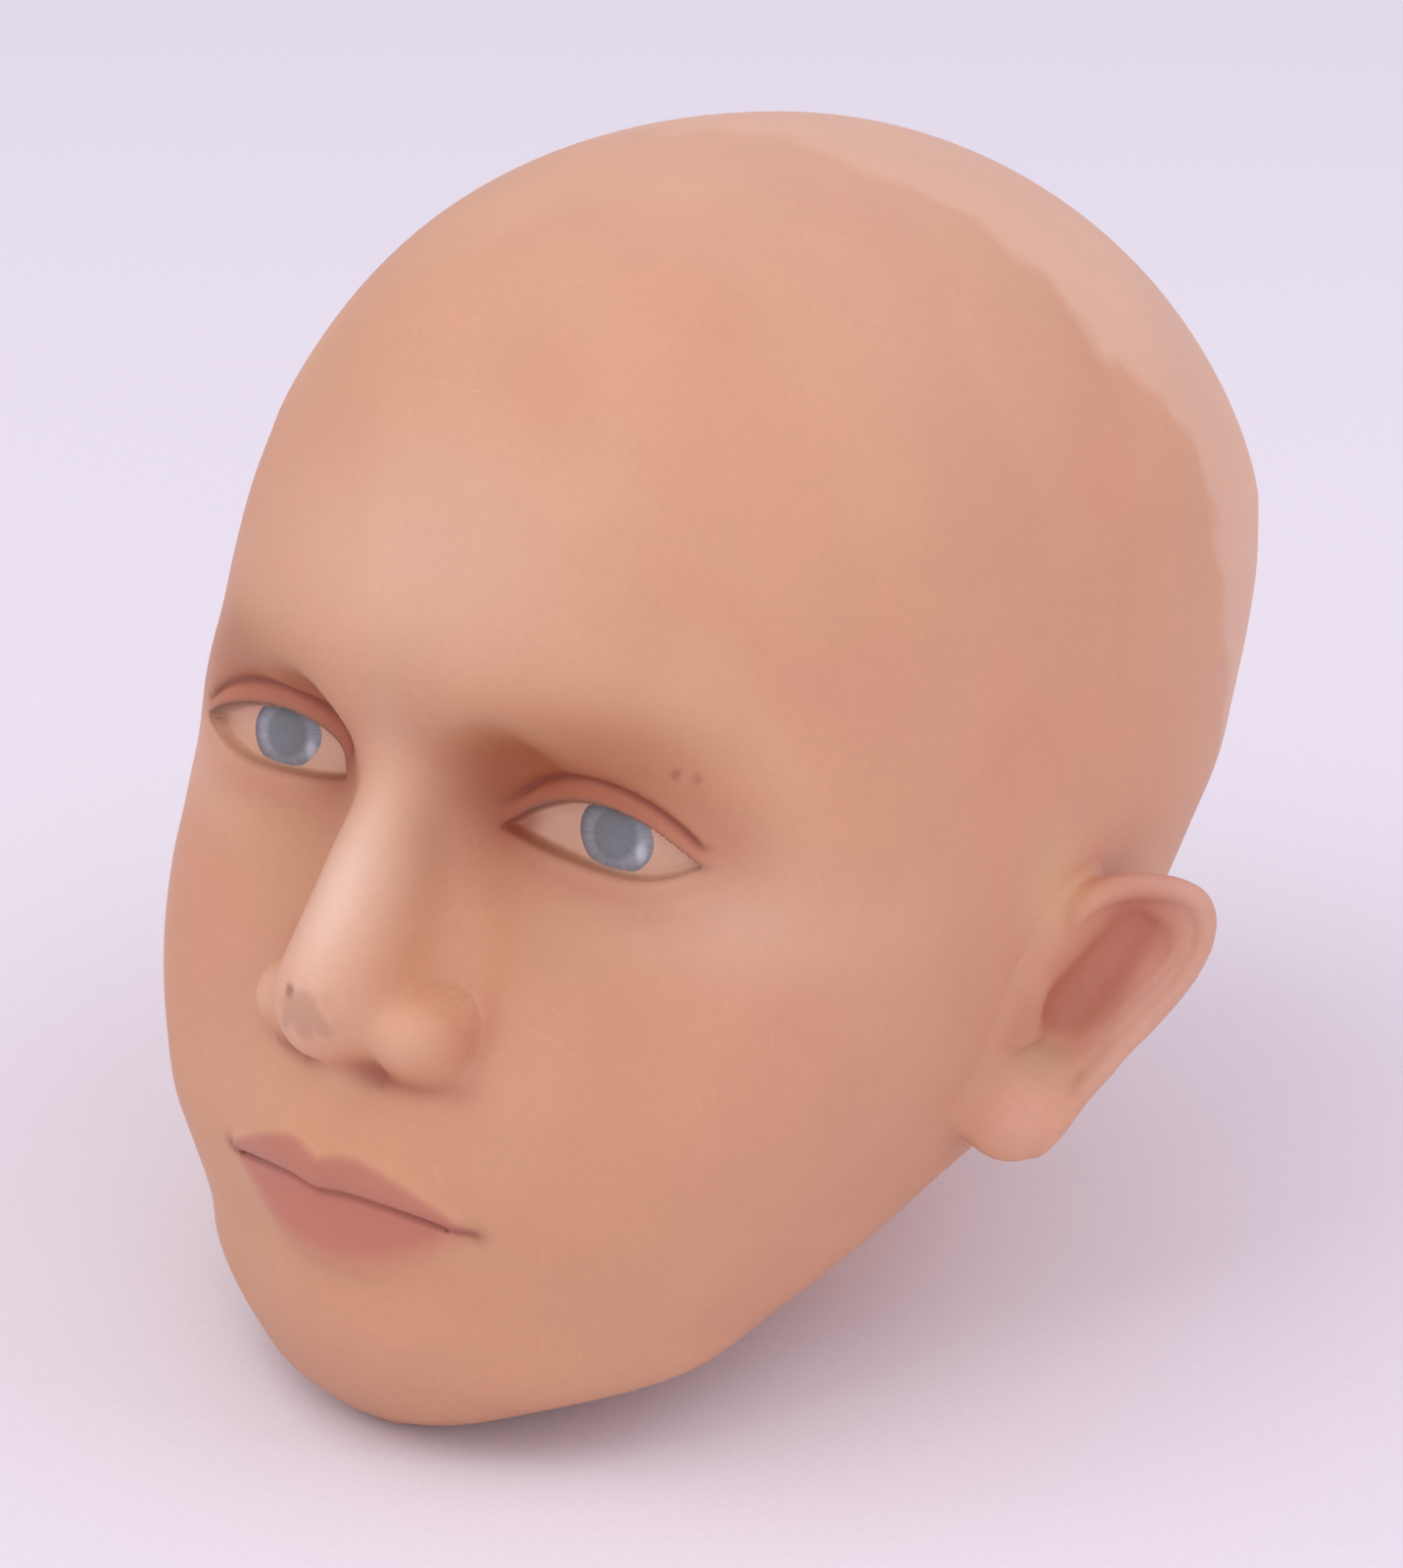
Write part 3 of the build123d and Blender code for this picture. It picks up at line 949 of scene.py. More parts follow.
@dataclass(frozen=True)
class Spray:
    """One soft pass of colour, as a ball of paint mist around a place. Most passes are the
    airbrush's own paint; a few are painted highlight and painted shade.
    """

    middle: tuple[float, float, float]
    reach: tuple[float, float, float]
    colour: str
    strength: float
    both_sides: bool = True
    edge: float = 2.0

    def cover(self, p: Array) -> Array:
        """How much of each point the pass covers.

        Args:
            p: Points, upright mm.

        Returns:
            Cover, zero to one.
        """
        q = p.copy()
        if self.both_sides:
            q[:, 0] = np.abs(q[:, 0])
        g = np.linalg.norm((q - np.array(self.middle)) / np.array(self.reach), axis=1)
        return self.strength * np.exp(-(g**self.edge))


@dataclass(frozen=True)
class FacePaint:
    """The paint passes, laid over one another in order, painted highlight and painted shade among
    them. Places are upright mm.
    """

    form: HeadForm
    flesh: str = "#D6A07D"
    pale: str = "#E4BA9E"
    passes: tuple[Spray, ...] = (
        Spray((0, -92, -46), (72, 46, 56), "#CC9368", 0.42, False),
        Spray((64, 0, 12), (16, 46, 42), "#CE9070", 0.55),
        Spray((0, -30, 92), (60, 60, 20), "#DDAE93", 0.6, False),
        Spray((56, -20, -40), (16, 34, 30), "#CB9272", 0.55),
        # Painted shade under the chin and jaw.
        Spray((0, -62, -96), (52, 46, 18), "#C08B6C", 0.6, False),
        Spray((40, -62, -30), (17, 18, 17), "#CF8A72", 0.5),
        Spray((24, -72, -36), (12, 12, 16), "#D8A58D", 0.4),
        Spray((0, -84, -46), (17, 12, 9), "#D9A27E", 0.55, False),
        Spray((0, -82, -84), (22, 14, 12), "#CC957A", 0.5, False),
        Spray((0, -96, -29), (9, 8, 9), "#D99F84", 0.5, False),
        Spray((24, -74, -14), (9, 9, 12), "#C49A72", 0.4),
        # Painted highlight: a pale sheen on the top of each cheek.
        Spray((44, -58, -8), (15, 16, 8), "#E2BCA2", 0.5),
        # Painted highlight: a pale sheen in the middle of the forehead.
        Spray((0, -84, 36), (26, 16, 18), "#E6BDA4", 0.5, False),
        Spray((0, -86, 17), (8, 8, 7), "#C08F74", 0.45, False),
        # Painted highlight down the bridge of the nose.
        Spray((0, -92, -12), (5.5, 14, 18), "#F2D2BC", 0.75, False),
        # Painted highlight on the front of each nose wing.
        Spray((11, -88, -31), (6, 7, 5), "#ECBA98", 0.5),
        Spray((32, -78, 14.5), (24, 12, 6.2), "#A96A40", 0.68),
        Spray((16, -74, 3), (9, 15, 11), "#924820", 0.92),
        Spray((30, -70, 8.5), (18, 10, 5.5), "#A65A36", 0.72),
        Spray((44, -64, 3), (8, 8, 6), "#A8634A", 0.6),
        Spray((30, -71, -7.5), (15, 8, 4.0), "#B9755C", 0.5),
        # Painted shade along the underside of each nose wing.
        Spray((11, -82, -39.6), (7.5, 7, 1.7), "#A0523E", 0.6),
        # Painted shade in the crease beside each nose wing.
        Spray((18.2, -75, -33), (2.0, 6, 6), "#B26A52", 0.35),
        # Painted shade in each nostril arch.
        Spray((6.5, -86, -38.8), (4.2, 5, 2.2), "#94483A", 0.7),
    )
    upper_lip: str = "#B87262"
    lower_lip: str = "#BE7060"
    lid: str = "#B4694E"
    lash: str = "#5F5A4C"
    crease: str = "#7C382C"
    part: str = "#86403A"
    ear_bowl_shade: str = "#B86E55"
    ear_rim: str = "#D6A693"
    lobe: str = "#E0A88C"
    filler: str = "#D8AE86"
    rosy: str = "#CF8F73"
    ochre: str = "#D8AD85"
    nape: str = "#CB9677"
    lower_lash: str = "#8A5444"
    eye_opening: str = "#DCB096"
    tear_corner: str = "#A8503E"
    mouth_corner_shade: str = "#9A5A46"
    ear_notch: str = "#C9A07C"
    rubbed: str = "#B58A72"

    def ground(self, p: Array) -> Array:
        """The flesh coat, with the paler second coat on the back of the crown.

        Args:
            p: Points, upright mm.

        Returns:
            Linear colours of the points.
        """
        out = np.tile(rgb(self.flesh), (len(p), 1))
        wander = 5.0 * noise(p, 22.0, 5) + 2.2 * noise(p, 7.0, 6)
        out = lay(out, self.rosy, 0.28 * step_up(noise(p, 19.0, 21), 0.1, 1.3))
        out = lay(out, self.ochre, 0.28 * step_up(noise(p, 16.0, 22), 0.2, 1.4))
        # The second coat stops short of the left temple and the ear, on a ragged line.
        line = p[:, 1] * 0.82 - p[:, 0] * 0.30 + p[:, 2] * 0.30 - 16.0 + wander
        cover = step_up(line, -1.6, 1.6) * step_up(p[:, 2], -12.0, 16.0)
        out = lay(out, self.pale, 0.75 * cover)
        low = step_up(p[:, 2], 8.0, -40.0) * step_up(p[:, 1], 0.0, 40.0)
        return lay(out, self.nape, 0.55 * low)

    def eyes(self, p: Array, out: Array) -> Array:
        """Paints the lids, the crease, the lash lines and the corners.

        Args:
            p: Points, upright mm.
            out: Linear colours so far.

        Returns:
            Linear colours.
        """
        x, z = np.abs(p[:, 0]), p[:, 2]
        front = step_up(p[:, 1], -54.0, -60.0)
        top, bottom, crease = self.form.lid_lines(x)
        window = step_up(x, 13.0, 16.5) * step_up(x, 48.0, 44.0) * front
        lid = step_up(z, top - 0.2, top + 0.5) * step_up(z, crease + 0.4, crease - 0.6)
        out = lay(out, self.lid, 0.55 * lid * window)
        out = lay(out, self.crease, 0.8 * window * bell(z - crease, 0.65))
        out = lay(out, self.lash, 0.6 * window * bell(z - top - 0.15, 0.62))
        out = lay(out, self.lower_lash, 0.35 * window * bell(z - bottom + 0.25, 0.55))
        inside = step_up(np.minimum(top - z, z - bottom), 0.0, 0.5) * front
        inside *= step_up(x, 14.0, 15.0) * step_up(x, 46.0, 45.0)
        out = lay(out, self.eye_opening, 0.9 * inside)
        corner = bell(np.hypot(x - 16.0, z + 1.2), 2.0) * front
        return lay(out, self.tear_corner, 0.6 * corner)

    def lips(self, p: Array, out: Array) -> Array:
        """Paints the lips, the dark parting line and painted shade in the corners of the mouth.

        Args:
            p: Points, upright mm.
            out: Linear colours so far.

        Returns:
            Linear colours.
        """
        x, z = np.abs(p[:, 0]), p[:, 2]
        top, part, bottom = self.form.lip_lines(x)
        front = step_up(p[:, 1], -70.0, -74.0) * step_up(x, 24.4, 23.0)
        upper = step_up(z, top + 0.8, top - 0.9) * step_up(z, part - 0.4, part + 0.2) * front
        lower = step_up(z, bottom - 1.4, bottom + 5.5) * step_up(z, part + 0.2, part - 0.4) * front
        out = lay(out, self.upper_lip, 0.82 * upper)
        out = lay(out, self.lower_lip, 0.8 * lower)
        out = lay(out, self.part, 0.6 * bell(z - part, 0.6) * front)
        # Painted shade in each corner of the mouth.
        corner = bell(np.hypot(x - 23.6, z + 59.4), 1.5) * step_up(p[:, 1], -68, -72)
        return lay(out, self.mouth_corner_shade, 0.5 * corner)

    def ears(self, p: Array, out: Array) -> Array:
        """Paints shade into the hollows of the ears, and paints the filler in front of them.

        Args:
            p: Points, upright mm.
            out: Linear colours so far.

        Returns:
            Linear colours.
        """
        for side in Side:
            ear = EarForm(self.form, side)
            q = ear.local(p)
            near = step_up(np.abs(q[:, 2]), 9.0, 6.0) * step_up(ear.from_edge(q), 4.0, 1.0)
            rim = near * step_up(q[:, 0], 2.0, 12.0)
            out = lay(out, self.ear_rim, 0.6 * rim)
            # Painted shade in the bowl of the ear.
            bowl = near * bell(tapered_rod(q, (12, 13, 0), (3, -1, 0), 0.1, 0.1), 7.5, 4)
            out = lay(out, self.ear_bowl_shade, 0.85 * bowl)
            small = near * bell(np.hypot(q[:, 0] - 0.4, q[:, 1] + 8.4), 4.6, 4)
            out = lay(out, self.ear_notch, 0.6 * small)
            lobe = near * bell(np.hypot(q[:, 0] + 1, q[:, 1] + 18), 7.0, 3)
            out = lay(out, self.lobe, 0.8 * lobe)
            patch = bell(np.hypot((q[:, 0] + 3.2) / 6.0, (q[:, 1] - 20.0) / 8.5), 1.0, 3)
            out = lay(out, self.filler, 0.6 * patch * step_up(np.abs(q[:, 2]), 20.0, 14.0))
        return out

    def wear(self, p: Array, out: Array) -> Array:
        """Adds the small chips, specks and the rub on the nose.

        Args:
            p: Points, upright mm.
            out: Linear colours so far.

        Returns:
            Linear colours.
        """
        # middle, radius and colour of each mark
        marks = (
            ((26.0, -52.0, 83.0), 1.0, "#A8674C"),
            ((12.0, -60.0, 79.0), 0.8, "#B98366"),
            ((38.0, -58.0, -26.0), 0.8, "#B4745A"),
            ((50.0, -50.0, -24.0), 0.7, "#B4745A"),
            ((36.0, -70.0, -48.0), 0.6, "#A8674C"),
            ((-1.5, -97.0, -27.0), 0.6, "#7F5646"),
            ((-4.5, -95.0, -30.0), 0.5, "#7F5646"),
            ((38.0, -74.5, 13.0), 0.4, "#9A5E48"),
            ((42.0, -72.5, 12.5), 0.4, "#9A5E48"),
            ((45.0, -70.5, 12.0), 0.35, "#9A5E48"),
            ((35.0, -76.0, 13.5), 0.35, "#E6C4AE"),
        )
        for middle, radius, colour in marks:
            far = np.linalg.norm(p - np.array(middle), axis=1) + 0.3 * noise(p, 1.2, 11)
            out = lay(out, colour, 0.7 * step_up(far, radius + 0.7, radius - 0.2))
        rub = np.linalg.norm((p - np.array([1.5, -97.0, -29.5])) / np.array([4.6, 6, 3.6]), axis=1)
        rub = step_up(rub + 0.25 * noise(p, 2.0, 12), 1.2, 0.6)
        return lay(out, self.rubbed, 0.55 * rub)

    def colours(self, p: Array) -> Array:
        """All the paint.

        Args:
            p: Points, upright mm.

        Returns:
            Linear colours of the points.
        """
        out = self.ground(p)
        for spray in self.passes:
            out = lay(out, spray.colour, spray.cover(p))
        out = self.ears(p, out)
        out = self.lips(p, out)
        out = self.eyes(p, out)
        return self.wear(p, out)


@dataclass(frozen=True)
class MattPaint:
    """Matt airbrushed enamel on a filled laminate: soft, slightly uneven, no hard shine."""

    name: str = "matt_airbrushed_enamel"
    roughness: float = 0.47
    mottle_mm: float = 26.0
    spatter_mm: float = 1.3
    orange_peel_mm: float = 0.9
    scratch_mm: float = 0.5
    peel_height_mm: float = 0.012

    def material(self) -> bpy.types.Material:
        """Builds the material around the painted colours.

        Returns:
            The material.
        """
        material, tree, shader = new_material(self.name)
        paint = add_node(tree, "ShaderNodeAttribute", {"attribute_name": "paint"})
        place = add_node(tree, "ShaderNodeTexCoord").outputs["Object"]
        # Broad unevenness of the sprayed coat, a few centimetres across, and fine spatter.
        mottle = add_noise(tree, place, 1 / (self.mottle_mm * MM), 5.0, 0.6)
        spatter = add_noise(tree, place, 1 / (self.spatter_mm * MM), 3.0, 0.65)
        broad = add_range(tree, mottle, (0.3, 0.7), (0.955, 1.03))
        fine = add_range(tree, spatter, (0.3, 0.7), (0.975, 1.02))
        # Hairline handling scratches, a few centimetres long and half a millimetre wide.
        along = add_stretch(tree, place, (38, self.scratch_mm, 9), (0.5, 0.9, 0.4))
        scratch = add_range(tree, add_noise(tree, along, 1.0, 1.0), (0.72, 0.8), (1.0, 1.05))
        both = multiply(tree, multiply(tree, broad, scratch), fine)
        shaded = add_node(
            tree,
            "ShaderNodeVectorMath",
            {"operation": "SCALE"},
            {0: paint.outputs["Color"], "Scale": both},
        )
        tree.links.new(shaded.outputs["Vector"], shader.inputs["Base Color"])
        # The coat is a little shinier where it went on wetter.
        gloss = (self.roughness - 0.06, self.roughness + 0.08)
        tree.links.new(add_range(tree, mottle, (0.3, 0.7), gloss), shader.inputs["Roughness"])
        peel = add_noise(tree, place, 1 / (self.orange_peel_mm * MM), 4.0, 0.7)
        roughen(tree, shader, peel, 0.6, self.peel_height_mm)
        shader.inputs["IOR"].default_value = 1.48
        shader.inputs["Specular IOR Level"].default_value = 0.42
        return material


# ---------------------------------------------------------------- the head


@dataclass
class HeadSkin:
    """The two laminate halves, joined, filled and painted as one skin."""

    form: HeadForm
    paint: FacePaint
    middle: tuple[float, float, float] = (0.0, 14.0, -8.0)
    spread: tuple[float, float, float] = (66.0, 100.0, 98.0)
    cuts: int = 55
    hollow_cuts: int = 25
    farthest: float = 150.0
    nearest: float = 12.0
    steps: int = 90
    slack: float = 5.0
    settle_steps: int = 14
    inside_colour: str = "#B9A184"

    def ways(self, cube: Array) -> Array:
        """Directions from the head's middle through a cube's points.

        Args:
            cube: Points of a cube of side two.

        Returns:
            Unit directions.
        """
        eased = np.tan(cube * math.pi / 4)
        unit = eased / np.linalg.norm(eased, axis=1)[:, None]
        way = unit * np.array(self.spread)
        return way / np.linalg.norm(way, axis=1)[:, None]

    def reach(
        self, way: Array, distance: Callable[[Array], Array], far: Array, near: Array, steps: int
    ) -> Array:
        """Walks in along each direction until it meets the skin.

        Args:
            way: Unit directions.
            distance: The form's distance function.
            far: Where each walk starts, outside the skin.
            near: Where it ends at the latest.
            steps: How many steps it takes.

        Returns:
            How far from the middle the skin is.
        """
        middle = np.array(self.middle)
        outer, inner = far.copy(), far.copy()
        open_ones = np.ones(len(way), bool)
        for index in range(1, steps + 1):
            at = far + (near - far) * index / steps
            live = np.nonzero(open_ones)[0]
            if not len(live):
                break
            inside = distance(middle + way[live] * at[live, None]) < 0
            hit = live[inside]
            inner[hit] = at[hit]
            open_ones[hit] = False
            missed = live[~inside]
            outer[missed] = at[missed]
            inner[missed] = at[missed]
        for _ in range(12):
            half = (outer + inner) / 2
            inside = distance(middle + way * half[:, None]) < 0
            inner = np.where(inside, half, inner)
            outer = np.where(inside, outer, half)
        return (outer + inner) / 2

    def settle(self, piece: bpy.types.Object, distance: Callable[[Array], Array]) -> None:
        """Moves every point of a finer mesh onto the skin again.

        Args:
            piece: The mesh, in upright millimetres.
            distance: The form's distance function.
        """
        p = points_of(piece) - np.array(self.middle)
        length = np.linalg.norm(p, axis=1)
        way = p / length[:, None]
        far, near = length + self.slack, length - self.slack
        found = self.reach(way, distance, far, near, self.settle_steps)
        place_points(piece, np.array(self.middle) + way * found[:, None])

    def ball(self, name: str, cuts: int, distance: Callable[[Array], Array]) -> bpy.types.Object:
        """A cube, subdivided and drawn onto a form.

        Args:
            name: The new object's name.
            cuts: Cuts in each edge of the cube.
            distance: The form's distance function.

        Returns:
            The mesh in upright millimetres.
        """
        deselect_all()
        bpy.ops.mesh.primitive_cube_add(size=2)
        piece = bpy.context.object
        piece.name = name
        bpy.ops.object.mode_set(mode="EDIT")
        bpy.ops.mesh.subdivide(number_cuts=cuts)
        bpy.ops.object.mode_set(mode="OBJECT")
        way = self.ways(points_of(piece))
        far, near = np.full(len(way), self.farthest), np.full(len(way), self.nearest)
        found = self.reach(way, distance, far, near, self.steps)
        place_points(piece, np.array(self.middle) + way * found[:, None])
        return piece

    def finer(self, piece: bpy.types.Object) -> None:
        """Adds points where the face has its detail.

        Args:
            piece: The mesh, in upright millimetres.
        """
        form = self.form

        def split(chooser: Callable[[Array, Array, Array], Array]) -> None:
            """Subdivides the chosen faces and settles the new points."""
            m = face_middles(piece)
            split_faces(piece, chooser(np.abs(m[:, 0]), m[:, 1], m[:, 2]))
            self.settle(piece, form.skin)

        def in_face(x: Array, y: Array, z: Array) -> Array:
            """The front of the face."""
            return (y < -46) & (z > -92) & (z < 26) & (x < 54)

        def in_feature(x: Array, y: Array, z: Array) -> Array:
            """The eyes, the end of the nose and the mouth."""
            eye = (y < -50) & (np.hypot((x - 30.5) / 20, (z - 1.5) / 13) < 1)
            nose = (y < -66) & (x < 20) & (z > -46) & (z < -18)
            mouth = (y < -66) & (x < 29) & (z > -74) & (z <= -46)
            return eye | nose | mouth

        def in_line(x: Array, y: Array, z: Array) -> Array:
            """The lids' edges and creases, the lips' upper edge and their parting."""
            top, bottom, crease = form.lid_lines(x)
            lid = (np.abs(z - top) < 1.3) | (np.abs(z - bottom) < 1.2) | (np.abs(z - crease) < 0.9)
            eye = (y < -50) & (x > 13.4) & (x < 47) & lid
            lip, part, _ = form.lip_lines(x)
            near = (np.abs(z - part) < 1.5) | (np.abs(z - lip) < 1.3)
            mouth = (y < -70) & (x < 26) & near
            return eye | mouth

        for chooser in (in_face, in_feature, in_line):
            split(chooser)

    def cut_at_table(self, piece: bpy.types.Object) -> None:
        """Cuts the neck off level with the table and leaves it open."""
        with editing_all(piece):
            bpy.ops.mesh.bisect(plane_co=(0, 0, 0), plane_no=(0, 0, 1), clear_inner=True)

    def build(self) -> bpy.types.Object:
        """Sculpts the skin, hollows it and paints it.

        Returns:
            The head, in place over the bore.
        """
        outer = self.ball("painted_head", self.cuts, self.form.skin)
        self.finer(outer)
        upright = points_of(outer)
        write_colours(outer, "paint", self.paint.colours(upright))
        place_points(outer, self.form.place.to_row(upright))
        self.cut_at_table(outer)
        inner = self.ball("head_hollow", self.hollow_cuts, self.form.hollow)
        deep = points_of(inner)
        write_colours(inner, "paint", np.tile(rgb(self.inside_colour), (len(deep), 1)))
        place_points(inner, self.form.place.to_row(deep))
        self.cut_at_table(inner)
        with editing_all(inner):
            bpy.ops.mesh.flip_normals()
        make_active(outer)
        inner.select_set(True)
        bpy.ops.object.join()
        bpy.ops.object.mode_set(mode="EDIT")
        bpy.ops.mesh.select_mode(type="EDGE")
        bpy.ops.mesh.select_all(action="DESELECT")
        bpy.ops.mesh.select_non_manifold(
            extend=False, use_wire=False, use_boundary=True, use_multi_face=False,
            use_non_contiguous=False, use_verts=False,
        )
        bpy.ops.mesh.bridge_edge_loops()
        bpy.ops.object.mode_set(mode="OBJECT")
        bpy.ops.object.shade_smooth()
        return outer


# ---------------------------------------------------------------- the eyes


@dataclass
class PaintedEye:
    """One domed eye blank with a painted iris, looking a little up and to the head's left."""

    side: Side
    place: HeadPlace
    middle: tuple[float, float, float] = (30.5, -58.0, 0.0)
    radius: float = 12.3
    back: float = 6.0
    iris: float = 7.4
    pupil: float = 3.7
    gaze: tuple[float, float, float] = (0.06, -1.0, 0.055)
    white: str = "#CB9E87"
    corner: str = "#A8745F"
    lid_shadow: str = "#A9705C"
    iris_ground: str = "#7C828A"
    iris_rays: str = "#A0A6AD"
    iris_rim: str = "#666C74"
    pupil_grey: str = "#6E7073"
    iris_lid_shadow: str = "#5E5E60"
    highlight: str = "#CDD2D8"

    def colours(self, p: Array, axis: Array) -> Array:
        """Paints white, iris, pupil, painted shade in the corners, the painted shadow of the upper
        lid and the painted highlight.

        Args:
            p: Points from the ball's middle, mm.
            axis: The unit gaze.

        Returns:
            Linear colours.
        """
        n = p / np.linalg.norm(p, axis=1)[:, None]
        across = np.cross(axis, (0, 0, 1.0))
        across /= np.linalg.norm(across)
        up = np.cross(across, axis)
        u, v = n @ across * self.radius, n @ up * self.radius
        ring = np.hypot(u, v)
        turn = np.arctan2(v, u)
        out = np.tile(rgb(self.white), (len(p), 1))
        # Painted shade towards both corners of the ball, and a painted shadow of the upper lid
        # across its top.
        out = lay(out, self.corner, step_up(np.abs(u), 6.8, 11.0) * 0.55)
        out = lay(out, self.lid_shadow, step_up(v, 2.6, 4.8) * 0.4)
        wave = 0.5 + 0.5 * np.sin(turn * 37 + 2.2 * np.sin(turn * 11))
        rays = step_up(ring, self.iris - 0.8, self.iris - 2.4) * (0.35 + 0.4 * wave)
        inside = step_up(ring, self.iris + 1.0, self.iris + 0.2)
        out = lay(out, self.iris_ground, step_up(ring, self.iris + 0.3, self.iris - 0.3))
        out = lay(out, self.iris_rays, rays)
        out = lay(out, self.iris_rim, bell(ring - self.iris + 0.35, 0.55) * 0.55)
        out = lay(out, self.pupil_grey, step_up(ring, self.pupil + 0.5, self.pupil - 0.6) * 0.8)
        # Painted shadow of the upper lid across the top of the iris.
        out = lay(out, self.iris_lid_shadow, step_up(v, 1.2, 4.4) * inside * 0.7)
        shine = np.hypot((u + 4.4) / 0.7, (v + 1.6) / 1.5)
        return lay(out, self.highlight, step_up(shine, 1.5, 0.4) * 0.7)

    def build(self) -> bpy.types.Object:
        """Turns a ball, cuts its back off flat and paints it.

        Returns:
            The eye, in place over the bore.
        """
        deselect_all()
        bpy.ops.mesh.primitive_uv_sphere_add(segments=160, ring_count=120, radius=self.radius)
        eye = bpy.context.object
        eye.name = f"{self.side.word}_eye_blank"
        axis = np.array(self.gaze) / np.linalg.norm(self.gaze)
        turn = Vector((0, 0, 1)).rotation_difference(Vector(axis)).to_matrix()
        p = points_of(eye) @ np.array(turn).T
        place_points(eye, p)
        with editing_all(eye):
            bpy.ops.mesh.bisect(
                plane_co=(0, self.back, 0), plane_no=(0, -1, 0), clear_inner=True, use_fill=True
            )
        p = points_of(eye)
        write_colours(eye, "paint", self.colours(p, axis))
        middle = np.array(self.middle) * np.array([self.side.value, 1, 1])
        place_points(eye, self.place.to_row(p + middle))
        bpy.ops.object.shade_smooth_by_angle(angle=math.radians(40))
        return eye


@dataclass(frozen=True)
class EyeEnamel:
    """Brushed enamel under a thin satin varnish: smoother than the skin, with a soft shine."""

    name: str = "varnished_eye_enamel"
    roughness: float = 0.34
    stroke_mm: float = 0.5
    stroke_height_mm: float = 0.01

    def material(self) -> bpy.types.Material:
        """Builds the material around the painted colours.

        Returns:
            The material.
        """
        material, tree, shader = new_material(self.name)
        paint = add_node(tree, "ShaderNodeAttribute", {"attribute_name": "paint"})
        place = add_node(tree, "ShaderNodeTexCoord").outputs["Object"]
        strokes = add_noise(tree, place, 1 / (self.stroke_mm * MM), 3.0)
        uneven = add_range(tree, strokes, (0.3, 0.7), (0.93, 1.05))
        shaded = add_node(
            tree,
            "ShaderNodeVectorMath",
            {"operation": "SCALE"},
            {0: paint.outputs["Color"], "Scale": uneven},
        )
        tree.links.new(shaded.outputs["Vector"], shader.inputs["Base Color"])
        roughen(tree, shader, strokes, 0.4, self.stroke_height_mm)
        shader.inputs["Roughness"].default_value = self.roughness
        shader.inputs["IOR"].default_value = 1.5
        return material


# ---------------------------------------------------------------- hardware finishes


@dataclass(frozen=True)
class Grained:
    """A plain material with two tones of grain, a roughness and a fine bump."""

    name: str
    light: str
    dark: str
    grain_mm: tuple[float, float, float]
    roughness: float
    metallic: float = 0.0
    bump_mm: float = 0.02
    detail: float = 4.0

    def material(self) -> bpy.types.Material:
        """Builds the material.

        Returns:
            The material.
        """
        material, tree, shader = new_material(self.name)
        place = add_node(tree, "ShaderNodeTexCoord").outputs["Object"]
        grain = add_noise(tree, add_stretch(tree, place, self.grain_mm), 1.0, self.detail, 0.6)
        colour = add_ramp(tree, grain, (self.dark, self.light), (0.32, 0.68))
        tree.links.new(colour, shader.inputs["Base Color"])
        rough = add_range(tree, grain, (0.0, 1.0), (self.roughness - 0.08, self.roughness + 0.1))
        tree.links.new(rough, shader.inputs["Roughness"])
        roughen(tree, shader, grain, 0.7, self.bump_mm)
        shader.inputs["Metallic"].default_value = self.metallic
        return material


@dataclass(frozen=True)
class BirchPlywood:
    """Birch plywood: pale veneers 1.4 mm thick with darker glue lines at the edge."""

    name: str = "birch_plywood"
    veneer_mm: float = 1.4
    grain_mm: tuple[float, float, float] = (9.0, 0.7, 0.7)
    bump_mm: float = 0.06

    def material(self) -> bpy.types.Material:
        """Builds the material.

        Returns:
            The material.
        """
        material, tree, shader = new_material(self.name)
        place = add_node(tree, "ShaderNodeTexCoord").outputs["Object"]
        split = add_node(tree, "ShaderNodeSeparateXYZ", None, {"Vector": place})
        height = add_node(
            tree,
            "ShaderNodeMath",
            {"operation": "MULTIPLY", 1: 1 / (self.veneer_mm * MM)},
            {0: split.outputs["Z"]},
        )
        part = add_node(
            tree, "ShaderNodeMath", {"operation": "FRACT"}, {0: height.outputs["Value"]}
        )
        line = add_ramp(tree, part.outputs["Value"], ("#8A6238", "#FFFFFF"), (0.04, 0.16))
        grain = add_noise(tree, add_stretch(tree, place, self.grain_mm), 1.0, 5.0)
        wood = add_ramp(tree, grain, ("#B98F5E", "#DDBD8C"), (0.3, 0.7))
        mixed = add_node(
            tree, "ShaderNodeVectorMath", {"operation": "MULTIPLY"}, {0: wood, 1: line}
        )
        tree.links.new(mixed.outputs["Vector"], shader.inputs["Base Color"])
        roughen(tree, shader, grain, 0.6, self.bump_mm)
        shader.inputs["Roughness"].default_value = 0.62
        return material


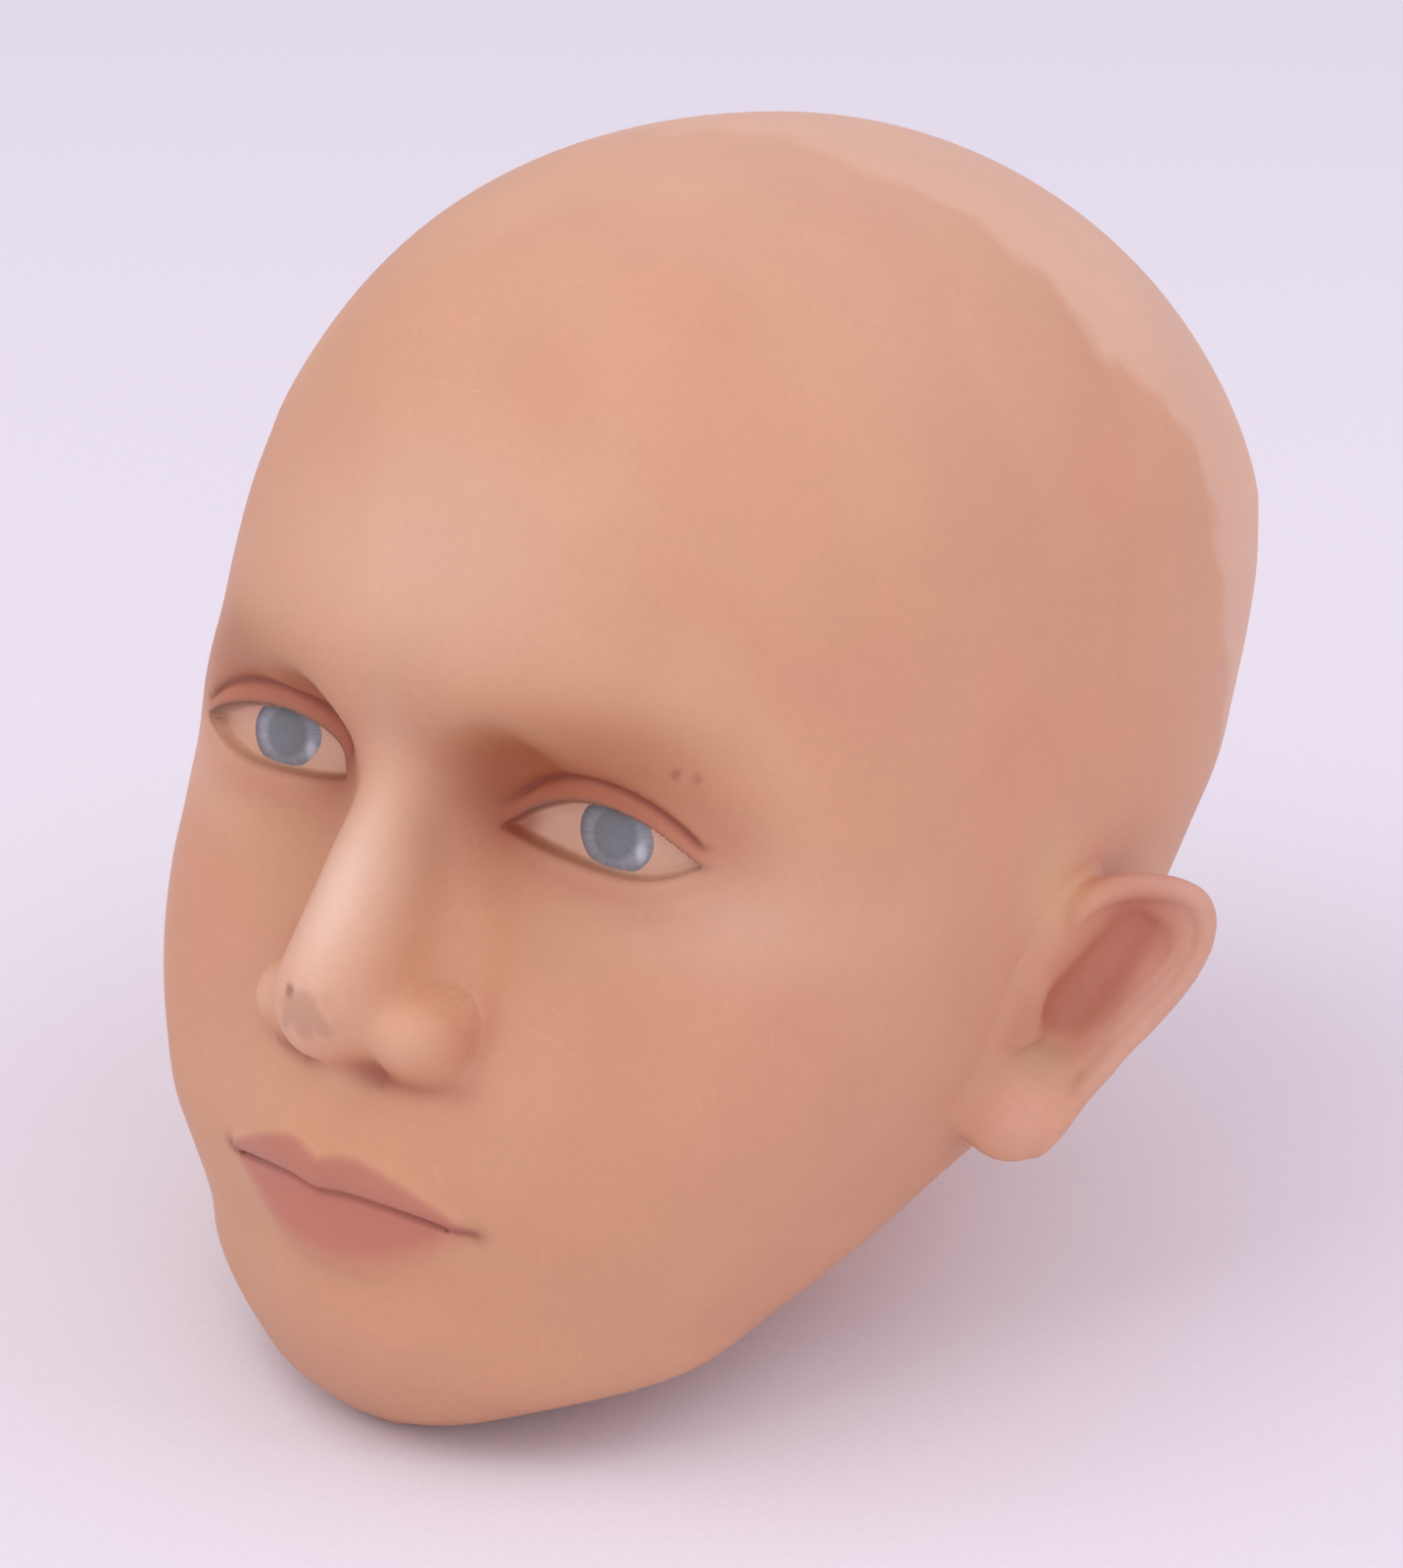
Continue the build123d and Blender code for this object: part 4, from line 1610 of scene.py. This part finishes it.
@dataclass
class NeckFitting:
    """The turning post fitting and the other CAD nodes that still show, in their own shape.

    The finishes are written for each slot, but see node_slots: as things are, every node
    wears the laminate one.
    """

    finishes: dict[str, object] = field(
        default_factory=lambda: {
            # Bright zinc plate on turned steel: fine rings and a faint bluish passivation.
            "plated_steel": Grained(
                "zinc_plated_steel", "#C9CDD2", "#9EA4AA", (6, 6, 0.25), 0.3, 1.0, 0.008
            ),
            # Moulded nylon: milky, waxy, faintly cloudy.
            "nylon": Grained("moulded_nylon", "#E6E2D6", "#D6D0C0", (5, 5, 5), 0.42, 0.0, 0.01),
            # Vulcanised fibre: a brick-red pressed board with a hairy grain.
            "fibre": Grained("vulcanised_fibre", "#8E4034", "#6B2C24", (3, 3, 0.4), 0.7, 0.0, 0.04),
            # Black moulded rubber: soft grey bloom over a dull black.
            "rubber": Grained("moulded_rubber", "#2C2B2A", "#1B1A1A", (1.2, 1.2, 1.2), 0.78),
            # Glass laminate: resin with a coarse chopped-strand grain.
            "laminate": Grained("glass_laminate", "#C9B48C", "#A58F66", (7, 1.2, 3), 0.5, 0.0, 0.1),
            # Linseed putty: chalky, thumbed in, slightly lumpy.
            "putty": Grained("linseed_putty", "#DAD2C0", "#BFB49C", (3, 3, 3), 0.85, 0.0, 0.12),
            "plywood": BirchPlywood(),
        }
    )

    def dress(self, frame: dict, replaced: set[str]) -> None:
        """Gives each CAD node that still shows a finish: its slot's, or else laminate.

        Args:
            replaced: Nodes that a sculpted piece stands for.
        """
        made = {slot: finish.material() for slot, finish in self.finishes.items()}
        slots = node_slots(frame["record"])
        for name, node in sorted(frame["nodes"].items()):
            if name in replaced:
                continue
            slot = slots.get(name, "laminate")
            node.data.materials.clear()
            node.data.materials.append(made.get(slot, made["laminate"]))
            LOG.info("%s wears %s", name, slot)


def node_slots(record: dict) -> dict[str, str]:
    """Which material slot each CAD node wears, by the record's material entries.

    The entries name a slot but no nodes, so this comes back empty for the present record.

    Args:
        record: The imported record.

    Returns:
        The slot of each node that an entry names.
    """
    slots = {}
    for entry in record.get("materials", []):
        for node in entry.get("nodes", []):
            slots[node] = entry["slot"]
    return slots


# ---------------------------------------------------------------- the studio


def towards(azimuth: float, elevation: float) -> Vector:
    """Unit direction to a place in the studio, in degrees from the face and up."""
    a, e = math.radians(azimuth), math.radians(elevation)
    return Vector((math.sin(a) * math.cos(e), -math.cos(a) * math.cos(e), math.sin(e)))


@dataclass(frozen=True)
class SoftLight:
    """One soft square light: where it hangs, in degrees and metres, its size and its power."""

    name: str
    azimuth: float
    elevation: float
    far: float
    size: float
    watts: float
    colour: str
    aim: tuple[float, float, float] = (0.0, 0.0, 0.08)

    def hang(self) -> None:
        """Adds the light to the scene, facing the head."""
        data = bpy.data.lights.new(self.name, "AREA")
        data.shape = "SQUARE"
        data.size = self.size
        data.energy = self.watts
        data.color = linear(self.colour)[:3]
        light = bpy.data.objects.new(self.name, data)
        way = towards(self.azimuth, self.elevation)
        light.location = Vector(self.aim) + way * self.far
        light.rotation_euler = way.to_track_quat("Z", "Y").to_euler()
        bpy.context.scene.collection.objects.link(light)


@dataclass(frozen=True)
class Studio:
    """A pale floor, soft lights and the camera."""

    azimuth: float = 36.5
    elevation: float = 23.9
    distance: float = 0.720
    target: tuple[float, float, float] = (-0.0006, -0.0066, 0.0746)
    lens: float = 105.8
    sensor: float = 36.0
    floor_side: float = 60.0
    room_colour: str = "#EDE6F2"
    room_strength: float = 0.82
    lights: tuple[SoftLight, ...] = (
        SoftLight("window_light", -34, 56, 1.3, 1.2, 5.4, "#FFFAF4"),
        SoftLight("bounce_light", 50, 12, 1.7, 1.6, 5.6, "#FBF6FF"),
        SoftLight("room_light", 120, 45, 1.6, 1.2, 4.5, "#F3F1FF"),
    )

    def camera(self) -> None:
        """Sets the camera, looking down a little at the left front of the head."""
        data = bpy.data.cameras.new("camera")
        data.lens = self.lens
        data.sensor_width = self.sensor
        data.clip_start = 0.01
        camera = bpy.data.objects.new("camera", data)
        way = towards(self.azimuth, self.elevation)
        camera.location = Vector(self.target) + way * self.distance
        camera.rotation_euler = way.to_track_quat("Z", "Y").to_euler()
        bpy.context.scene.collection.objects.link(camera)
        bpy.context.scene.camera = camera

    def floor(self) -> bpy.types.Object:
        """Lays a large sheet of pale paper.

        Returns:
            The floor.
        """
        deselect_all()
        bpy.ops.mesh.primitive_plane_add(size=self.floor_side)
        floor = bpy.context.object
        floor.name = "paper_floor"
        material, tree, shader = new_material("pale_paper")
        place = add_node(tree, "ShaderNodeTexCoord").outputs["Object"]
        # Paper fibre, about a millimetre across.
        colour = add_ramp(tree, add_noise(tree, place, 900.0, 3.0), ("#EAE6EE", "#F2EFF6"))
        tree.links.new(colour, shader.inputs["Base Color"])
        shader.inputs["Roughness"].default_value = 0.9
        floor.data.materials.append(material)
        return floor

    def world(self) -> None:
        """Fills the room with pale light."""
        world = bpy.data.worlds.new("room")
        world.use_nodes = True
        back = world.node_tree.nodes["Background"]
        back.inputs["Color"].default_value = linear(self.room_colour)
        back.inputs["Strength"].default_value = self.room_strength
        bpy.context.scene.world = world
        bpy.context.scene.view_settings.view_transform = "Standard"

    def build(self) -> None:
        """Sets up the whole studio."""
        self.camera()
        self.world()
        for light in self.lights:
            light.hang()
        self.floor()


# ---------------------------------------------------------------- the whole


def attach(piece: bpy.types.Object, slot: str, *nodes: str) -> None:
    """Hands a sculpted piece to the frame.

    Args:
        piece: The piece.
        slot: The record's material slot; not used.
        nodes: The CAD nodes that it stands for.
    """
    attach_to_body(piece, "head")
    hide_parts(*nodes)
    LOG.info("%s: %d faces", piece.name, len(piece.data.polygons))


def main() -> None:
    """Builds the head around its frame."""
    logging.basicConfig(level=logging.INFO, format="%(name)s: %(message)s")
    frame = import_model()
    place = HeadPlace.from_eye(PaintedEye.middle[1], PaintedEye.radius)
    LOG.info("head frame: neck_y %.2f, eye height %.2f", place.neck_y, place.eye_height)
    form = HeadForm(place)
    paint = FacePaint(form)
    skin_finish = MattPaint().material()
    eye_finish = EyeEnamel().material()
    Studio().build()

    head = HeadSkin(form, paint).build()
    head.data.materials.clear()
    head.data.materials.append(skin_finish)
    attach(head, "painted_skin", "face_shell", "back_shell")
    replaced = {"face_shell", "back_shell"}

    for side in Side:
        ear = EarForm(form, side).build(f"{side.word}_cast_ear")
        upright = points_of(ear)
        write_colours(ear, "paint", paint.colours(upright))
        place_points(ear, place.to_row(upright))
        ear.data.materials.append(skin_finish)
        attach(ear, "painted_skin", f"{side.word}_ear")
        eye = PaintedEye(side, place).build()
        eye.data.materials.append(eye_finish)
        attach(eye, "painted_eye", f"{side.word}_eye")
        replaced |= {f"{side.word}_ear", f"{side.word}_eye"}

    NeckFitting().dress(frame, replaced)


if __name__ == "__main__":
    main()
